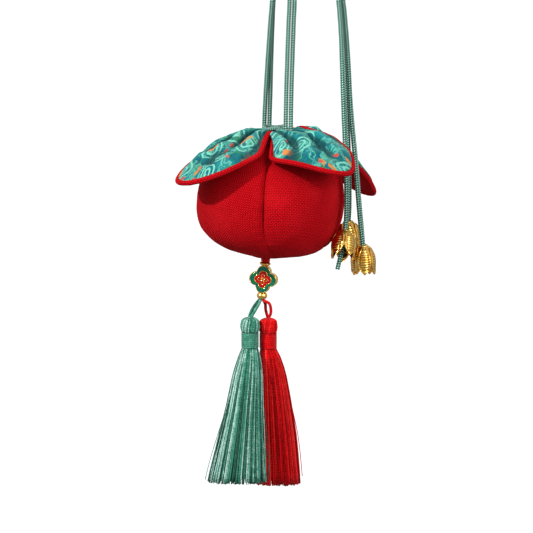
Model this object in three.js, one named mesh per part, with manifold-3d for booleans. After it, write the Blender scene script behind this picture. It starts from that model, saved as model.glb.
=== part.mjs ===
// A herbal sachet: a round drawstring pouch of four red gores under four padded leaves,
// hung on its drawstrings, with a charm and two tassels below.
// Millimetres, Z up. The origin is the hang point, under the top of the drawstrings.
// An azimuth of 0 degrees points to the front (-Y), and it grows towards +X.

import * as THREE from "three";
import { mergeVertices } from "three/addons/utils/BufferGeometryUtils.js";
import Module from "manifold-3d";

const wasm = await Module();
wasm.setup();

// Driving dimensions
const GAP = 0.3;
const MOUTH = new THREE.Vector3(-17.6, 0, -108);
const POUCH_AXIS_X = -20.9;
const BASE_POLE = new THREE.Vector3(-22.7, 0, -179.5);

const WALL = 2.2;
const SEAMS = [-6, 77, 172, 262, 354];
const SEAM_DEPTH = 0.085;
const GORE_COLUMNS = 5;

const LEAF_START = 6;
const LEAF_WIDEST = 26;
const LEAF_DEPTH = -5;
const LEAF_ROWS = 8;
const LEAF_COLUMNS = 8;
const BACKING = 1.2;
const LEAF_EDGE = 1.2;
const GATHER_DEPTH = 0.7;
const GATHER_ALONG = 15;
const GATHER_REACH = 12;
const PIPING_RADIUS = 1.1;
const PIPING_OFFSET = 1.7;
const PIPING_STEPS = 17;

const STRAND_RADIUS = 1.25;
const STRAND_STEPS = 30;
const MOUTH_CORD_RING = 6.4;
const MOUTH_CORD_RADIUS = 1.1;
const MOUTH_CORD_HEIGHT = 1.5;
const LOOP_RADIUS = 0.75;

const WRAP_TOP = -8.8;
const WRAP_BOTTOM = -17;
const WRAP_INNER = 4.45;
const WRAP_OUTER = 4.9;

const BEAD_SIDES = 15;
const BEAD_WALL = 0.9;

const CHARM_LOBE = 3.8;
const CHARM_REACH = 4.0;
const CHARM_LOBE_SPAN = 3.11;
const CHARM_DEPTH = 5;
const CHARM_HEIGHT = -12.2;
const ENAMEL = 0.6;
const RECESS_SCALE = 0.88;
const BORDER_SCALE = 0.83;
const BORDER_HOLE_SCALE = 0.62;
const FACE_SCALE = 0.57;
const CHARM_TURN = -12;
const DROP_TILT = 5.5;
const DROP_CORD_RADIUS = 0.65;
const DROP_CORD_TOP = 4;
const DROP_CORD_BOTTOM = -23.6;
const BORE_RADIUS = 0.95;

const RED_CLOTH = { color: 0xb3121b, roughness: 0.9, metalness: 0 };
const TEAL_PRINT = { color: 0x2f9a8c, roughness: 0.85, metalness: 0 };
const TEAL_CORD = { color: 0x4f9484, roughness: 0.7, metalness: 0 };
const RED_SILK = { color: 0xc00d16, roughness: 0.45, metalness: 0 };
const TEAL_SILK = { color: 0x3f9c84, roughness: 0.45, metalness: 0 };
const GILT = { color: 0xd9a53a, roughness: 0.28, metalness: 1 };
const GREEN_ENAMEL = { color: 0x0d7d5a, roughness: 0.25, metalness: 0 };
const RED_ENAMEL = { color: 0xb01a1c, roughness: 0.25, metalness: 0 };

// Sections of the pouch, below the mouth: radius at the middle of a gore and sideways shift
const POUCH_SECTIONS = [
  { z: -5.4, radius: 7.8, shift: 3.3 },
  { z: -6.8, radius: 14, shift: 3.1 },
  { z: -9.6, radius: 22, shift: 2.6 },
  { z: -13.8, radius: 28.8, shift: 2.1 },
  { z: -19.4, radius: 34.8, shift: 1.6 },
  { z: -26.2, radius: 39.2, shift: 1.1 },
  { z: -34.0, radius: 41.2, shift: 0.8 },
  { z: -42.0, radius: 41.6, shift: 0.6 },
  { z: -50.0, radius: 40.5, shift: 0.6 },
  { z: -56.5, radius: 37.8, shift: 1.2 },
  { z: -61.5, radius: 33.6, shift: 2.4 },
  { z: -66.0, radius: 26.8, shift: 4.0 },
  { z: -69.3, radius: 17.5, shift: 4.4 },
  { z: -71.2, radius: 8.0, shift: 0.8 },
  { z: -71.5, radius: 1.9, shift: -1.8 },
];

const GORES = ["front_right", "back_right", "back_left", "front_left"];

// Leaves: direction, length, half width, how far and how sharply the end falls, roll and fall of
// the sides, and the share of the full padding
const LEAVES = [
  {
    name: "front_left", azimuth: -56, reach: 59, width: 21, fall: 22, curl: 1.5,
    roll: 1.5, sides: 2.6, plump: 0.95,
  },
  {
    name: "front_right", azimuth: 37, reach: 58, width: 19.5, fall: 15, curl: 1.6,
    roll: -3, sides: 3, plump: 1,
  },
  {
    name: "back_right", azimuth: 127, reach: 64, width: 19.5, fall: 38, curl: 1.9,
    roll: 0, sides: 4, plump: 0.95,
  },
  {
    name: "back_left", azimuth: 216, reach: 63, width: 21, fall: 30, curl: 1.7,
    roll: 0, sides: 3.5, plump: 0.65,
  },
];

// Padding over the backing along a leaf: distance from the mouth and height at the middle
const PADDING = [
  { along: 6, height: 2.6 },
  { along: 10, height: 4.2 },
  { along: 18, height: 5.6 },
  { along: 34, height: 5.8 },
  { along: 52, height: 5.0 },
  { along: 60, height: 3.4 },
  { along: 66, height: 1.2 },
];

// Eyelets, from the middle of the mouth
const EYELETS = [
  { leaf: "front_right", x: 7.3, y: -7 },
  { leaf: "back_left", x: -4.6, y: 8.6 },
];
const EYELET_LENGTH = 6.8;
const EYELET_WIDTH = 3.6;

// Routes of the four strands, from the eyelet over the hang point to the end under the cap
const STRANDS = [
  {
    name: "strand_front_left",
    route: [
      [-11.7, -7.0, -110.8], [-11.8, -7.0, -106], [-11.6, -6.8, -90], [-11.0, -6.2, -70],
      [-10.3, -5.4, -50], [-9.8, -4.9, -38.8], [-9.6, -4.4, -24], [-8.9, -4.2, -11],
      [-6.0, -4.2, -2.6], [-1.0, -4.2, 1.25], [5.5, -4.2, -0.9], [11.0, -4.3, -8],
      [14.6, -4.4, -20], [16.9, -4.8, -38.8], [18.2, -5.4, -56], [18.9, -6.1, -75],
      [19.8, -7.0, -100], [20.9, -8.0, -125], [21.4, -9.4, -145], [21.1, -11.2, -158],
      [20.5, -12.1, -164], [19.3, -15.2, -171],
      [17.8, -17.6, -177.5], [16.4, -18.6, -183.5],
    ],
  },
  {
    name: "strand_front_right",
    route: [
      [-8.9, -7.0, -110.8], [-9.0, -7.0, -106], [-8.8, -6.4, -90], [-8.2, -5.6, -70],
      [-7.5, -4.4, -50], [-7.0, -3.6, -38.8], [-6.9, -2.4, -24], [-6.8, -1.4, -11],
      [-5.0, -1.4, -2.6], [-1.0, -1.4, 1.25], [6.0, -1.4, -0.8], [12.0, -1.4, -8],
      [16.2, -1.4, -20], [19.6, -1.6, -38.8], [21.3, -1.9, -56], [22.6, -2.4, -75],
      [23.9, -3.2, -100], [26.2, -4.4, -125], [28.0, -4.6, -148], [29.4, -4.6, -163],
      [30.6, -4.5, -173], [31.0, -4.5, -180], [31.1, -4.5, -186.5],
    ],
  },
  {
    name: "strand_back_left",
    route: [
      [-23.6, 8.5, -110.8], [-23.5, 8.5, -106], [-22.8, 7.5, -90], [-21.6, 5.9, -70],
      [-20.2, 4.2, -50], [-19.3, 3.1, -38.8], [-18.2, 2.2, -24], [-15.0, 1.5, -11],
      [-9.0, 1.4, -2.2], [-1.0, 1.4, 1.25], [5.5, 1.4, -0.9], [11.2, 1.5, -8],
      [15.2, 1.6, -20], [18.0, 1.6, -38.8], [19.6, 1.5, -56], [20.6, 1.0, -75],
      [21.8, 0.2, -100], [22.8, -1.0, -125], [23.2, -0.4, -145], [23.1, 2.0, -155],
      [22.7, 3.4, -162], [23.0, 3.4, -169], [23.3, 3.4, -174],
    ],
  },
  {
    name: "strand_back_right",
    route: [
      [-20.8, 8.7, -110.8], [-20.7, 8.7, -106], [-20.2, 8.5, -90], [-19.7, 8.2, -70],
      [-19.0, 7.1, -50], [-18.5, 6.2, -38.8], [-17.4, 5.2, -24], [-14.4, 4.5, -11],
      [-8.6, 4.2, -2.2], [-1.0, 4.2, 1.25], [6.0, 4.2, -0.8], [12.0, 4.3, -8],
      [16.0, 4.5, -20], [19.4, 4.8, -38.8], [21.0, 4.7, -56], [22.4, 4.2, -75],
      [24.2, 3.4, -100], [26.6, 2.4, -125], [28.6, 3.6, -148], [30.2, 8.2, -165],
      [30.9, 10.2, -174], [31.0, 10.2, -181], [31.0, 10.2, -187.5],
    ],
  },
];

// Caps on the strand ends: where the top sits, how far the mouth leans left and front, and the turn
const CAPS = [
  { name: "cap_bead_1", top: [20.4, -12.0, -163.6], left: 5, front: 32, turn: 18 },
  { name: "cap_bead_2", top: [22.6, 3.4, -160.2], left: -4, front: 0, turn: 54 },
  { name: "cap_bead_3", top: [30.7, -4.5, -172.6], left: -2, front: 2, turn: -15 },
  { name: "cap_bead_4", top: [30.9, 10.2, -174.2], left: 0, front: 0, turn: 20 },
];

// Outline of a cap: depth below its top and outer radius; the last row is the middle of the rim
const CAP_SECTIONS = [
  { z: 0, radius: 2.5 },
  { z: -1.9, radius: 4.4 },
  { z: -5.2, radius: 6.1 },
  { z: -8.8, radius: 6.5 },
  { z: -12.6, radius: 6.1 },
];
const CAP_NOTCH = 3.2;
const CAP_FLARE = 0.06;
const CAP_PETALS = 5;
const CAP_BORE = 1.6;

// Outline of a tassel below its top: half widths of the two tassels, and half depth front to back
const TASSEL_SECTIONS = [
  { z: -0.4, teal: 2.6, red: 2.6, depth: 2.6, locks: 0 },
  { z: -2.2, teal: 4.6, red: 4.6, depth: 4.6, locks: 0 },
  { z: -5.4, teal: 5.2, red: 5.0, depth: 5.0, locks: 0 },
  { z: -7.9, teal: 4.7, red: 4.6, depth: 4.7, locks: 0 },
  { z: -8.6, teal: 4.1, red: 4.1, depth: 4.1, locks: 0 },
  { z: -17.2, teal: 4.1, red: 4.1, depth: 4.1, locks: 0 },
  { z: -18.4, teal: 4.9, red: 4.8, depth: 4.6, locks: 0.02 },
  { z: -23, teal: 6.0, red: 5.8, depth: 5.2, locks: 0.04 },
  { z: -31, teal: 7.9, red: 7.6, depth: 5.8, locks: 0.05 },
  { z: -48, teal: 9.9, red: 9.6, depth: 6.2, locks: 0.06 },
  { z: -66, teal: 12.5, red: 11.2, depth: 6.8, locks: 0.07 },
  { z: -84, teal: 15.0, red: 11.8, depth: 7.4, locks: 0.08 },
  { z: -91, teal: 15.9, red: 12.2, depth: 7.7, locks: 0.09 },
];
const TASSEL_LENGTH = 91;
const TASSEL_NECK = -18.4;
const TASSEL_LOCKS = 10;

const TASSELS = [
  {
    name: "tassel_teal", width: "teal", material: TEAL_SILK, top: [-31.4, -2.2, -212.2],
    lean: [-7, -5.5], lag: 1,
    loop: [
      [-25.6, -1.2, -203.7], [-27.2, -1.8, -206.6], [-29.6, -2.4, -210.6], [-30.7, -2.0, -211.3],
      [-31.2, -1.1, -210.2], [-29.4, -0.2, -206.6], [-27.0, 0.2, -203.7],
    ],
  },
  {
    name: "tassel_red", width: "red", material: RED_SILK, top: [-21.4, 2.2, -213.4],
    lean: [5.4, 5.5], lag: 0.6,
    loop: [
      [-23.6, -1.2, -203.9], [-20.9, -0.6, -205.2], [-19.9, 0.8, -208.6], [-20.4, 2.0, -211.9],
      [-21.6, 2.5, -212.2], [-22.7, 2.3, -209.4], [-23.0, 2.0, -205.9], [-23.6, 1.5, -203.9],
    ],
  },
];

const radians = THREE.MathUtils.degToRad;

// A value read from a table between its rows.
function between(table, key, value, column) {
  const rising = Math.sign(table.at(-1)[key] - table[0][key]);
  const at = table.findIndex((row) => (row[key] - value) * rising >= 0);
  if (at === 0) return table[0][column];
  if (at < 0) return table.at(-1)[column];
  const before = table[at - 1];
  const after = table[at];
  const share = (value - before[key]) / (after[key] - before[key]);
  return before[column] + share * (after[column] - before[column]);
}

// A geometry of shared vertices without folded triangles, with its faces pointing out.
function closed(positions) {
  const geometry = new THREE.BufferGeometry();
  geometry.setAttribute("position", new THREE.Float32BufferAttribute(positions, 3));
  const merged = mergeVertices(geometry, 1e-3);
  const points = merged.attributes.position;
  const index = [];
  let volume = 0;
  const a = new THREE.Vector3();
  const b = new THREE.Vector3();
  const c = new THREE.Vector3();
  for (let i = 0; i < merged.index.count; i += 3) {
    const corners = [0, 1, 2].map((k) => merged.index.getX(i + k));
    if (new Set(corners).size < 3) continue;
    a.fromBufferAttribute(points, corners[0]);
    b.fromBufferAttribute(points, corners[1]);
    c.fromBufferAttribute(points, corners[2]);
    volume += a.dot(b.cross(c));
    index.push(...corners);
  }
  if (volume < 0) index.reverse();
  merged.setIndex(index);
  merged.computeVertexNormals();
  return merged;
}

// The triangles of a grid of points; a ring of columns joins its last column to its first.
function gridFaces(grid, ring = false) {
  const faces = [];
  const columns = grid[0].length;
  for (let r = 0; r + 1 < grid.length; r += 1) {
    for (let c = 0; c + (ring ? 0 : 1) < columns; c += 1) {
      const next = (c + 1) % columns;
      faces.push(grid[r][c], grid[r][next], grid[r + 1][next]);
      faces.push(grid[r][c], grid[r + 1][next], grid[r + 1][c]);
    }
  }
  return faces;
}

function flatten(faces) {
  return faces.flatMap((p) => [p.x, p.y, p.z]);
}

// A closed sheet between two grids of the same size, with a wall along each border.
function slab(top, bottom) {
  const underside = gridFaces(bottom).reverse();
  const last = top[0].length - 1;
  const borders = [
    [bottom[0], top[0]],
    [top.at(-1), bottom.at(-1)],
    [top.map((row) => row[0]), bottom.map((row) => row[0])],
    [bottom.map((row) => row[last]), top.map((row) => row[last])],
  ];
  return closed(flatten([gridFaces(top), underside, ...borders.map((b) => gridFaces(b))].flat()));
}

// A closed body through rings of points, with a fan to a middle point at each end.
function loft(rings, first, last) {
  const faces = gridFaces(rings, true);
  const fan = (ring, tip, flip) => ring.forEach((p, i) => {
    const q = ring[(i + 1) % ring.length];
    faces.push(...(flip ? [q, p, tip] : [p, q, tip]));
  });
  fan(rings[0], first, true);
  fan(rings.at(-1), last, false);
  return closed(flatten(faces));
}

function circle(radius, sides) {
  const outline = new THREE.Shape();
  for (let i = 0; i <= sides; i += 1) {
    const angle = (2 * Math.PI * i) / sides;
    outline[i ? "lineTo" : "moveTo"](radius * Math.cos(angle), radius * Math.sin(angle));
  }
  return outline;
}

// A round tube along a curve.
function tube(points, radius, sides, steps, round = false) {
  const path = new THREE.CatmullRomCurve3(points, round, "centripetal");
  const options = { extrudePath: path, steps, bevelEnabled: false };
  const made = new THREE.ExtrudeGeometry(circle(radius, sides), options);
  return closed(Array.from(made.attributes.position.array));
}

function solid(geometry) {
  const source = geometry.clone();
  source.deleteAttribute("normal");
  source.deleteAttribute("uv");
  const merged = mergeVertices(source, 1e-3);
  const vertProperties = merged.attributes.position.array;
  const triVerts = new Uint32Array(merged.index.array);
  return new wasm.Manifold(new wasm.Mesh({ numProp: 3, vertProperties, triVerts }));
}

function geometryOf(made) {
  const mesh = made.getMesh();
  const geometry = new THREE.BufferGeometry();
  const positions = [];
  for (let i = 0; i < mesh.numVert; i += 1) {
    positions.push(...mesh.vertProperties.subarray(i * mesh.numProp, i * mesh.numProp + 3));
  }
  geometry.setAttribute("position", new THREE.Float32BufferAttribute(positions, 3));
  geometry.setIndex(Array.from(mesh.triVerts));
  geometry.computeVertexNormals();
  return geometry;
}

function cut(body, ...tools) {
  return geometryOf(tools.reduce((left, tool) => left.subtract(solid(tool)), solid(body)));
}

const sachet = new THREE.Group();

function add(name, geometry, material, parent = sachet) {
  const mesh = new THREE.Mesh(geometry, new THREE.MeshStandardMaterial(material));
  mesh.name = name;
  parent.add(mesh);
  return mesh;
}

// The pouch, in the frame of its mouth

function pouchSection(z) {
  const radius = between(POUCH_SECTIONS, "z", z, "radius");
  const shift = between(POUCH_SECTIONS, "z", z, "shift");
  return { radius, x: POUCH_AXIS_X - MOUTH.x + shift };
}

// A gore's radius dips to the seams on its two sides; across runs from 0 to 1.
function seamDip(across) {
  return 1 - SEAM_DEPTH * (1 - Math.sin(Math.PI * across)) ** 2;
}

// The outward direction of the pouch's outline at a section, as its radius and height parts.
function outlineNormal(row) {
  const above = POUCH_SECTIONS[Math.max(row - 1, 0)];
  const below = POUCH_SECTIONS[Math.min(row + 1, POUCH_SECTIONS.length - 1)];
  return new THREE.Vector2(above.z - below.z, below.radius - above.radius).normalize();
}

// A point of a gore; its sides stand half a gap back from the seams.
function gorePoint(gore, row, column, inset) {
  const section = POUCH_SECTIONS[row];
  const normal = outlineNormal(row);
  const across = column / GORE_COLUMNS;
  const smallest = 1.2;
  const radius = Math.max(section.radius * seamDip(across) - inset * normal.x, smallest);
  const side = (across - 0.5) * 2;
  const margin = GAP / 2 + 0.03;
  const seamGap = side ** 3 * Math.asin(Math.min(margin / radius, 0.9));
  const azimuth = radians(THREE.MathUtils.lerp(SEAMS[gore], SEAMS[gore + 1], across)) - seamGap;
  return new THREE.Vector3(
    POUCH_AXIS_X - MOUTH.x + section.shift + radius * Math.sin(azimuth),
    -radius * Math.cos(azimuth),
    section.z - inset * normal.y,
  );
}

function goreGrid(gore, inset) {
  const columns = Array.from({ length: GORE_COLUMNS + 1 }, (_, column) => column);
  return POUCH_SECTIONS.map((_, row) => columns.map((column) => gorePoint(gore, row, column, inset)));
}

GORES.forEach((name, gore) => {
  const mesh = add(`gore_${name}`, slab(goreGrid(gore, 0), goreGrid(gore, WALL)), RED_CLOTH);
  mesh.position.copy(MOUTH);
});

// The height of the pouch under a point seen from above, or far below where the pouch isn't.
function pouchHeight(x, y) {
  const widest = -38;
  const step = 0.25;
  const clearance = 0.8;
  for (let z = POUCH_SECTIONS[0].z; z > widest; z -= step) {
    const section = pouchSection(z);
    if (Math.hypot(x - section.x, y) <= section.radius + clearance) return z + clearance;
  }
  return 3 * widest;
}

// The leaves: along is the distance from the mouth, across runs from -1 to 1

// Near the mouth a leaf keeps clear of its neighbours' edges; past its widest place it rounds off.
function leafHalfWidth(leaf, along) {
  const slope = 0.945;
  const foot = THREE.MathUtils.clamp((along - 8) / 7, 0, 1);
  const roomForPiping = 1 + 2.3 * foot;
  const share = Math.max(along - LEAF_WIDEST, 0) / (leaf.reach - LEAF_WIDEST);
  const rounded = leaf.width * Math.sqrt(Math.max(1 - share ** 2.1, 0));
  return Math.min(slope * along - roomForPiping, rounded);
}

// The underside of a leaf's backing, where the leaf rests on the pouch or falls free of it.
function leafUnderside(leaf, along, across, beyond = 0) {
  const sideways = across * leafHalfWidth(leaf, along) + Math.sign(across) * beyond;
  const turn = radians(leaf.azimuth);
  const x = sideways * Math.cos(turn) + along * Math.sin(turn);
  const y = sideways * Math.sin(turn) - along * Math.cos(turn);
  const share = (along - LEAF_START) / (leaf.reach - LEAF_START);
  const fall = leaf.fall * share ** leaf.curl;
  const drape = leaf.sides * across ** 2 * Math.sin(Math.PI * share);
  const roll = (leaf.roll * share * sideways) / leaf.width;
  const free = LEAF_DEPTH - fall - drape + roll;
  return new THREE.Vector3(x, y, Math.max(free, pouchHeight(x, y)));
}

function paddingHeight(leaf, along, across) {
  const scaled = (along / leaf.reach) * PADDING.at(-1).along;
  const crown = leaf.plump * between(PADDING, "along", scaled, "height");
  const gathered = Math.max(1 - Math.abs(along - GATHER_ALONG) / GATHER_REACH, 0);
  const gathers = GATHER_DEPTH * Math.cos(2 * Math.PI * across) * gathered;
  const round = 1 - Math.abs(across) ** 2.5;
  return LEAF_EDGE + Math.max(crown - LEAF_EDGE + gathers, 0) * round;
}

function leafGrid(leaf, rows, columns, height) {
  return Array.from({ length: rows + 1 }, (_, row) => {
    const along = LEAF_START + (leaf.reach - LEAF_START) * Math.sin((Math.PI / 2) * (row / rows));
    return Array.from({ length: columns + 1 }, (_, column) => {
      const across = (2 * column) / columns - 1;
      const point = leafUnderside(leaf, along, across);
      point.z += height(along, across);
      return point;
    });
  });
}

// The line of the rolled edge, round the leaf from one side of its foot to the other.
function leafEdge(leaf) {
  const steps = 13;
  const blunt = 4;
  const foot = 0.1;
  const points = [];
  for (let i = -steps; i <= steps; i += 1) {
    const share = 1 - (1 - foot) * (Math.abs(i) / steps);
    const along = LEAF_START + (leaf.reach - LEAF_START) * Math.sin((Math.PI / 2) * share);
    const point = leafUnderside(leaf, along, i < 0 ? -1 : 1, i ? PIPING_OFFSET : 0);
    if (Math.abs(i) < blunt) {
      const push = PIPING_OFFSET * (1 - Math.abs(i) / blunt);
      point.x += push * Math.sin(radians(leaf.azimuth));
      point.y -= push * Math.cos(radians(leaf.azimuth));
    }
    point.z += BACKING + GAP / 2;
    points.push(point);
  }
  return points;
}

function eyeletTool(eyelet) {
  const straight = (EYELET_LENGTH - EYELET_WIDTH) / 2;
  const outline = new THREE.Shape();
  outline.absarc(straight, 0, EYELET_WIDTH / 2, -Math.PI / 2, Math.PI / 2, false);
  outline.absarc(-straight, 0, EYELET_WIDTH / 2, Math.PI / 2, (3 * Math.PI) / 2, false);
  const height = 30;
  const options = { depth: height, bevelEnabled: false, curveSegments: 5 };
  const tool = new THREE.ExtrudeGeometry(outline, options);
  return tool.translate(eyelet.x, eyelet.y, -height / 2);
}

for (const leaf of LEAVES) {
  const name = `petal_${leaf.name}`;
  const under = leafGrid(leaf, LEAF_ROWS, LEAF_COLUMNS, () => BACKING + GAP);
  const over = leafGrid(leaf, LEAF_ROWS, LEAF_COLUMNS, (along, across) =>
    BACKING + GAP + paddingHeight(leaf, along, across));
  const holes = EYELETS.filter((eyelet) => eyelet.leaf === leaf.name).map(eyeletTool);
  const pad = cut(slab(over, under), ...holes);
  const backing = slab(
    leafGrid(leaf, LEAF_ROWS, LEAF_COLUMNS, () => BACKING),
    leafGrid(leaf, LEAF_ROWS, LEAF_COLUMNS, () => 0),
  );
  add(name, pad, TEAL_PRINT).position.copy(MOUTH);
  add(`${name}_backing`, backing, RED_CLOTH).position.copy(MOUTH);
  const piping = tube(leafEdge(leaf), PIPING_RADIUS, 6, PIPING_STEPS);
  add(`${name}_piping`, piping, RED_CLOTH).position.copy(MOUTH);
}

// The drawstring round the mouth lies on the feet of the leaves
function mouthCord() {
  const count = 16;
  const points = Array.from({ length: count }, (_, i) => {
    const turn = (2 * Math.PI * i) / count;
    const x = MOUTH_CORD_RING * Math.cos(turn);
    const y = MOUTH_CORD_RING * Math.sin(turn);
    return new THREE.Vector3(x, y, MOUTH_CORD_HEIGHT);
  });
  return tube(points, MOUTH_CORD_RADIUS, 6, 18, true);
}
add("mouth_cord", mouthCord(), TEAL_CORD).position.copy(MOUTH);

for (const strand of STRANDS) {
  const route = strand.route.map((point) => new THREE.Vector3(...point));
  add(strand.name, tube(route, STRAND_RADIUS, 8, STRAND_STEPS), TEAL_CORD);
}

// A lotus cap: a hollow bell of petals with a pointed rim, bored for its strand
function lotusCap() {
  const rings = (inset) => CAP_SECTIONS.map((section, row) => {
    const grown = row / (CAP_SECTIONS.length - 1);
    return Array.from({ length: BEAD_SIDES }, (_, i) => {
      const turn = (2 * Math.PI * i) / BEAD_SIDES;
      const lobe = Math.cos(CAP_PETALS * turn);
      const flare = 1 + CAP_FLARE * grown * lobe;
      const radius = Math.max(section.radius * flare - inset, CAP_BORE);
      const point = grown === 1 ? -CAP_NOTCH * lobe : 0;
      const roof = inset * (1 - grown);
      return new THREE.Vector3(radius * Math.cos(turn), radius * Math.sin(turn), section.z + point - roof);
    });
  });
  const outer = rings(0);
  const inner = rings(BEAD_WALL).reverse();
  const all = [...outer, ...inner, outer[0]];
  return closed(flatten(gridFaces(all, true)));
}

for (const cap of CAPS) {
  const mesh = add(cap.name, lotusCap(), GILT);
  mesh.position.set(...cap.top);
  mesh.rotation.set(-radians(cap.front), radians(cap.left), radians(cap.turn), "YXZ");
}

// The drop under the pouch hangs a little to the left

const drop = new THREE.Group();
drop.position.copy(BASE_POLE);
drop.rotation.y = radians(DROP_TILT);
sachet.add(drop);

// A drilled bead turned from an outline of radius and height
function drilled(outline, sides) {
  const profile = [
    [BORE_RADIUS, outline.at(-1)[1]],
    [BORE_RADIUS, outline[0][1]],
    ...outline,
    [BORE_RADIUS, outline.at(-1)[1]],
  ];
  const points = profile.map(([radius, z]) => new THREE.Vector2(radius, z));
  const made = new THREE.LatheGeometry(points, sides).rotateX(Math.PI / 2);
  return closed(Array.from(made.toNonIndexed().attributes.position.array));
}

// Outlines of the knot and the spacers: radius and height, from the bottom up
const KNOT_OUTLINE = [[1.6, -2.5], [2.6, -1.9], [2.6, -1.0], [1.7, -GAP]];
const UPPER_SPACER_OUTLINE = [[2.6, -4.3], [3.1, -3.8], [3.1, -3.3], [2.6, -2.8]];
const LOWER_SPACER_OUTLINE = [[2.2, -22.9], [2.9, -22.3], [2.9, -20.7], [2.2, -20.1]];
add("base_knot", drilled(KNOT_OUTLINE, 12), RED_SILK, drop);
add("upper_spacer", drilled(UPPER_SPACER_OUTLINE, 16), GILT, drop);
add("lower_spacer", drilled(LOWER_SPACER_OUTLINE, 16), GILT, drop);

function quatrefoil(scale) {
  const outline = new THREE.Shape();
  const half = CHARM_LOBE_SPAN / 2;
  for (let lobe = 0; lobe < 4; lobe += 1) {
    const turn = (lobe * Math.PI) / 2;
    const x = CHARM_REACH * scale * Math.cos(turn);
    const y = CHARM_REACH * scale * Math.sin(turn);
    outline.absarc(x, y, CHARM_LOBE * scale, turn - half, turn + half, false);
  }
  return outline;
}

function quatrefoilPlate(scale, depth, bevel = 0, hole = 0) {
  const outline = quatrefoil(scale);
  if (hole) outline.holes.push(new THREE.Path(quatrefoil(hole).getPoints(4)));
  const options = {
    depth: depth - 2 * bevel,
    bevelEnabled: bevel > 0,
    bevelThickness: bevel,
    bevelSize: bevel,
    bevelOffset: -bevel,
    bevelSegments: 1,
    curveSegments: 4,
  };
  return new THREE.ExtrudeGeometry(outline, options).translate(0, 0, bevel - depth / 2);
}

const charm = new THREE.Group();
charm.position.z = CHARM_HEIGHT;
charm.rotation.z = radians(CHARM_TURN);
drop.add(charm);

const recess = ENAMEL + GAP;
const bore = new THREE.CylinderGeometry(BORE_RADIUS, BORE_RADIUS, 40, 12);
const upright = (geometry) => geometry.rotateX(Math.PI / 2);
const side = (CHARM_DEPTH - recess) / 2;
const charmBody = cut(
  upright(quatrefoilPlate(1, CHARM_DEPTH, 0.5)),
  upright(quatrefoilPlate(RECESS_SCALE, recess + 0.2)).translate(0, -side - 0.1, 0),
  upright(quatrefoilPlate(RECESS_SCALE, recess + 0.2)).translate(0, side + 0.1, 0),
  bore.rotateX(Math.PI / 2),
);
add("charm_body", charmBody, GILT, charm);
for (const [name, facing] of [["front", -1], ["back", 1]]) {
  const place = facing * (CHARM_DEPTH - ENAMEL) / 2;
  const border = upright(quatrefoilPlate(BORDER_SCALE, ENAMEL, 0, BORDER_HOLE_SCALE));
  const face = upright(quatrefoilPlate(FACE_SCALE, ENAMEL)).translate(0, place, 0);
  add(`charm_border_${name}`, border.translate(0, place, 0), GREEN_ENAMEL, charm);
  add(`charm_face_${name}`, face, RED_ENAMEL, charm);
}

const thread = new THREE.CylinderGeometry(
  DROP_CORD_RADIUS, DROP_CORD_RADIUS, DROP_CORD_TOP - DROP_CORD_BOTTOM, 8,
).rotateX(Math.PI / 2).translate(0, 0, (DROP_CORD_TOP + DROP_CORD_BOTTOM) / 2);
add("drop_cord", thread, RED_SILK, drop);

// The tassels

function tasselBody(tassel) {
  const sides = 2 * TASSEL_LOCKS;
  const sag = (z) => Math.max((TASSEL_NECK - z) / (TASSEL_LENGTH + TASSEL_NECK), 0);
  const middle = (z) => new THREE.Vector3(
    tassel.lean[0] * sag(z) ** tassel.lag, tassel.lean[1] * sag(z) ** 0.7, z,
  );
  const rings = TASSEL_SECTIONS.map((section, row) => {
    const last = row === TASSEL_SECTIONS.length - 1;
    return Array.from({ length: sides }, (_, i) => {
      const turn = (2 * Math.PI * i) / sides;
      const lock = 1 + section.locks * (i % 2 ? 1 : -1);
      const end = last ? (i % 2 ? -0.8 : 1) + 0.8 * Math.sin(5 * turn) : 0;
      return middle(section.z).add(new THREE.Vector3(
        section[tassel.width] * lock * Math.cos(turn),
        section.depth * lock * Math.sin(turn),
        end,
      ));
    });
  });
  return loft(rings, middle(0), middle(2 - TASSEL_LENGTH));
}

function wrapBand() {
  const round = 0.4;
  const outline = [
    [WRAP_INNER, WRAP_BOTTOM],
    [WRAP_OUTER, WRAP_BOTTOM + round],
    [WRAP_OUTER, WRAP_TOP - round],
    [WRAP_INNER, WRAP_TOP],
    [WRAP_INNER, WRAP_BOTTOM],
  ];
  const points = outline.map(([radius, z]) => new THREE.Vector2(radius, z));
  const made = new THREE.LatheGeometry(points, 16).rotateX(Math.PI / 2);
  return closed(Array.from(made.toNonIndexed().attributes.position.array));
}

for (const tassel of TASSELS) {
  add(tassel.name, tasselBody(tassel), tassel.material).position.set(...tassel.top);
  add(`${tassel.name}_wrap`, wrapBand(), tassel.material).position.set(...tassel.top);
  const loop = tassel.loop.map((point) => new THREE.Vector3(...point));
  add(`${tassel.name}_loop`, tube(loop, LOOP_RADIUS, 6, 12), tassel.material);
}

export default sachet;
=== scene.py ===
"""The looks of the herbal sachet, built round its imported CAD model.

Sizes and places are in millimetres unless a name says otherwise, and each mesh is scaled to metres.
An azimuth of 0 degrees points to the front (-Y), and it grows towards +X.
"""

import math
import random

import bpy
import numpy as np
from mathutils import Matrix, Vector, noise


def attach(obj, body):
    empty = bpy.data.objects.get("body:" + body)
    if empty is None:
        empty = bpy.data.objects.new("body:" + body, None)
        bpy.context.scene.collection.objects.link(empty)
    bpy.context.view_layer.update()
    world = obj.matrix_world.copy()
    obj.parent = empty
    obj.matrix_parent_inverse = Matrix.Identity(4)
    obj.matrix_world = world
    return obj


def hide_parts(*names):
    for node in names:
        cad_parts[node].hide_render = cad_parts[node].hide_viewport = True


MM = 0.001
PI = math.pi

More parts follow.
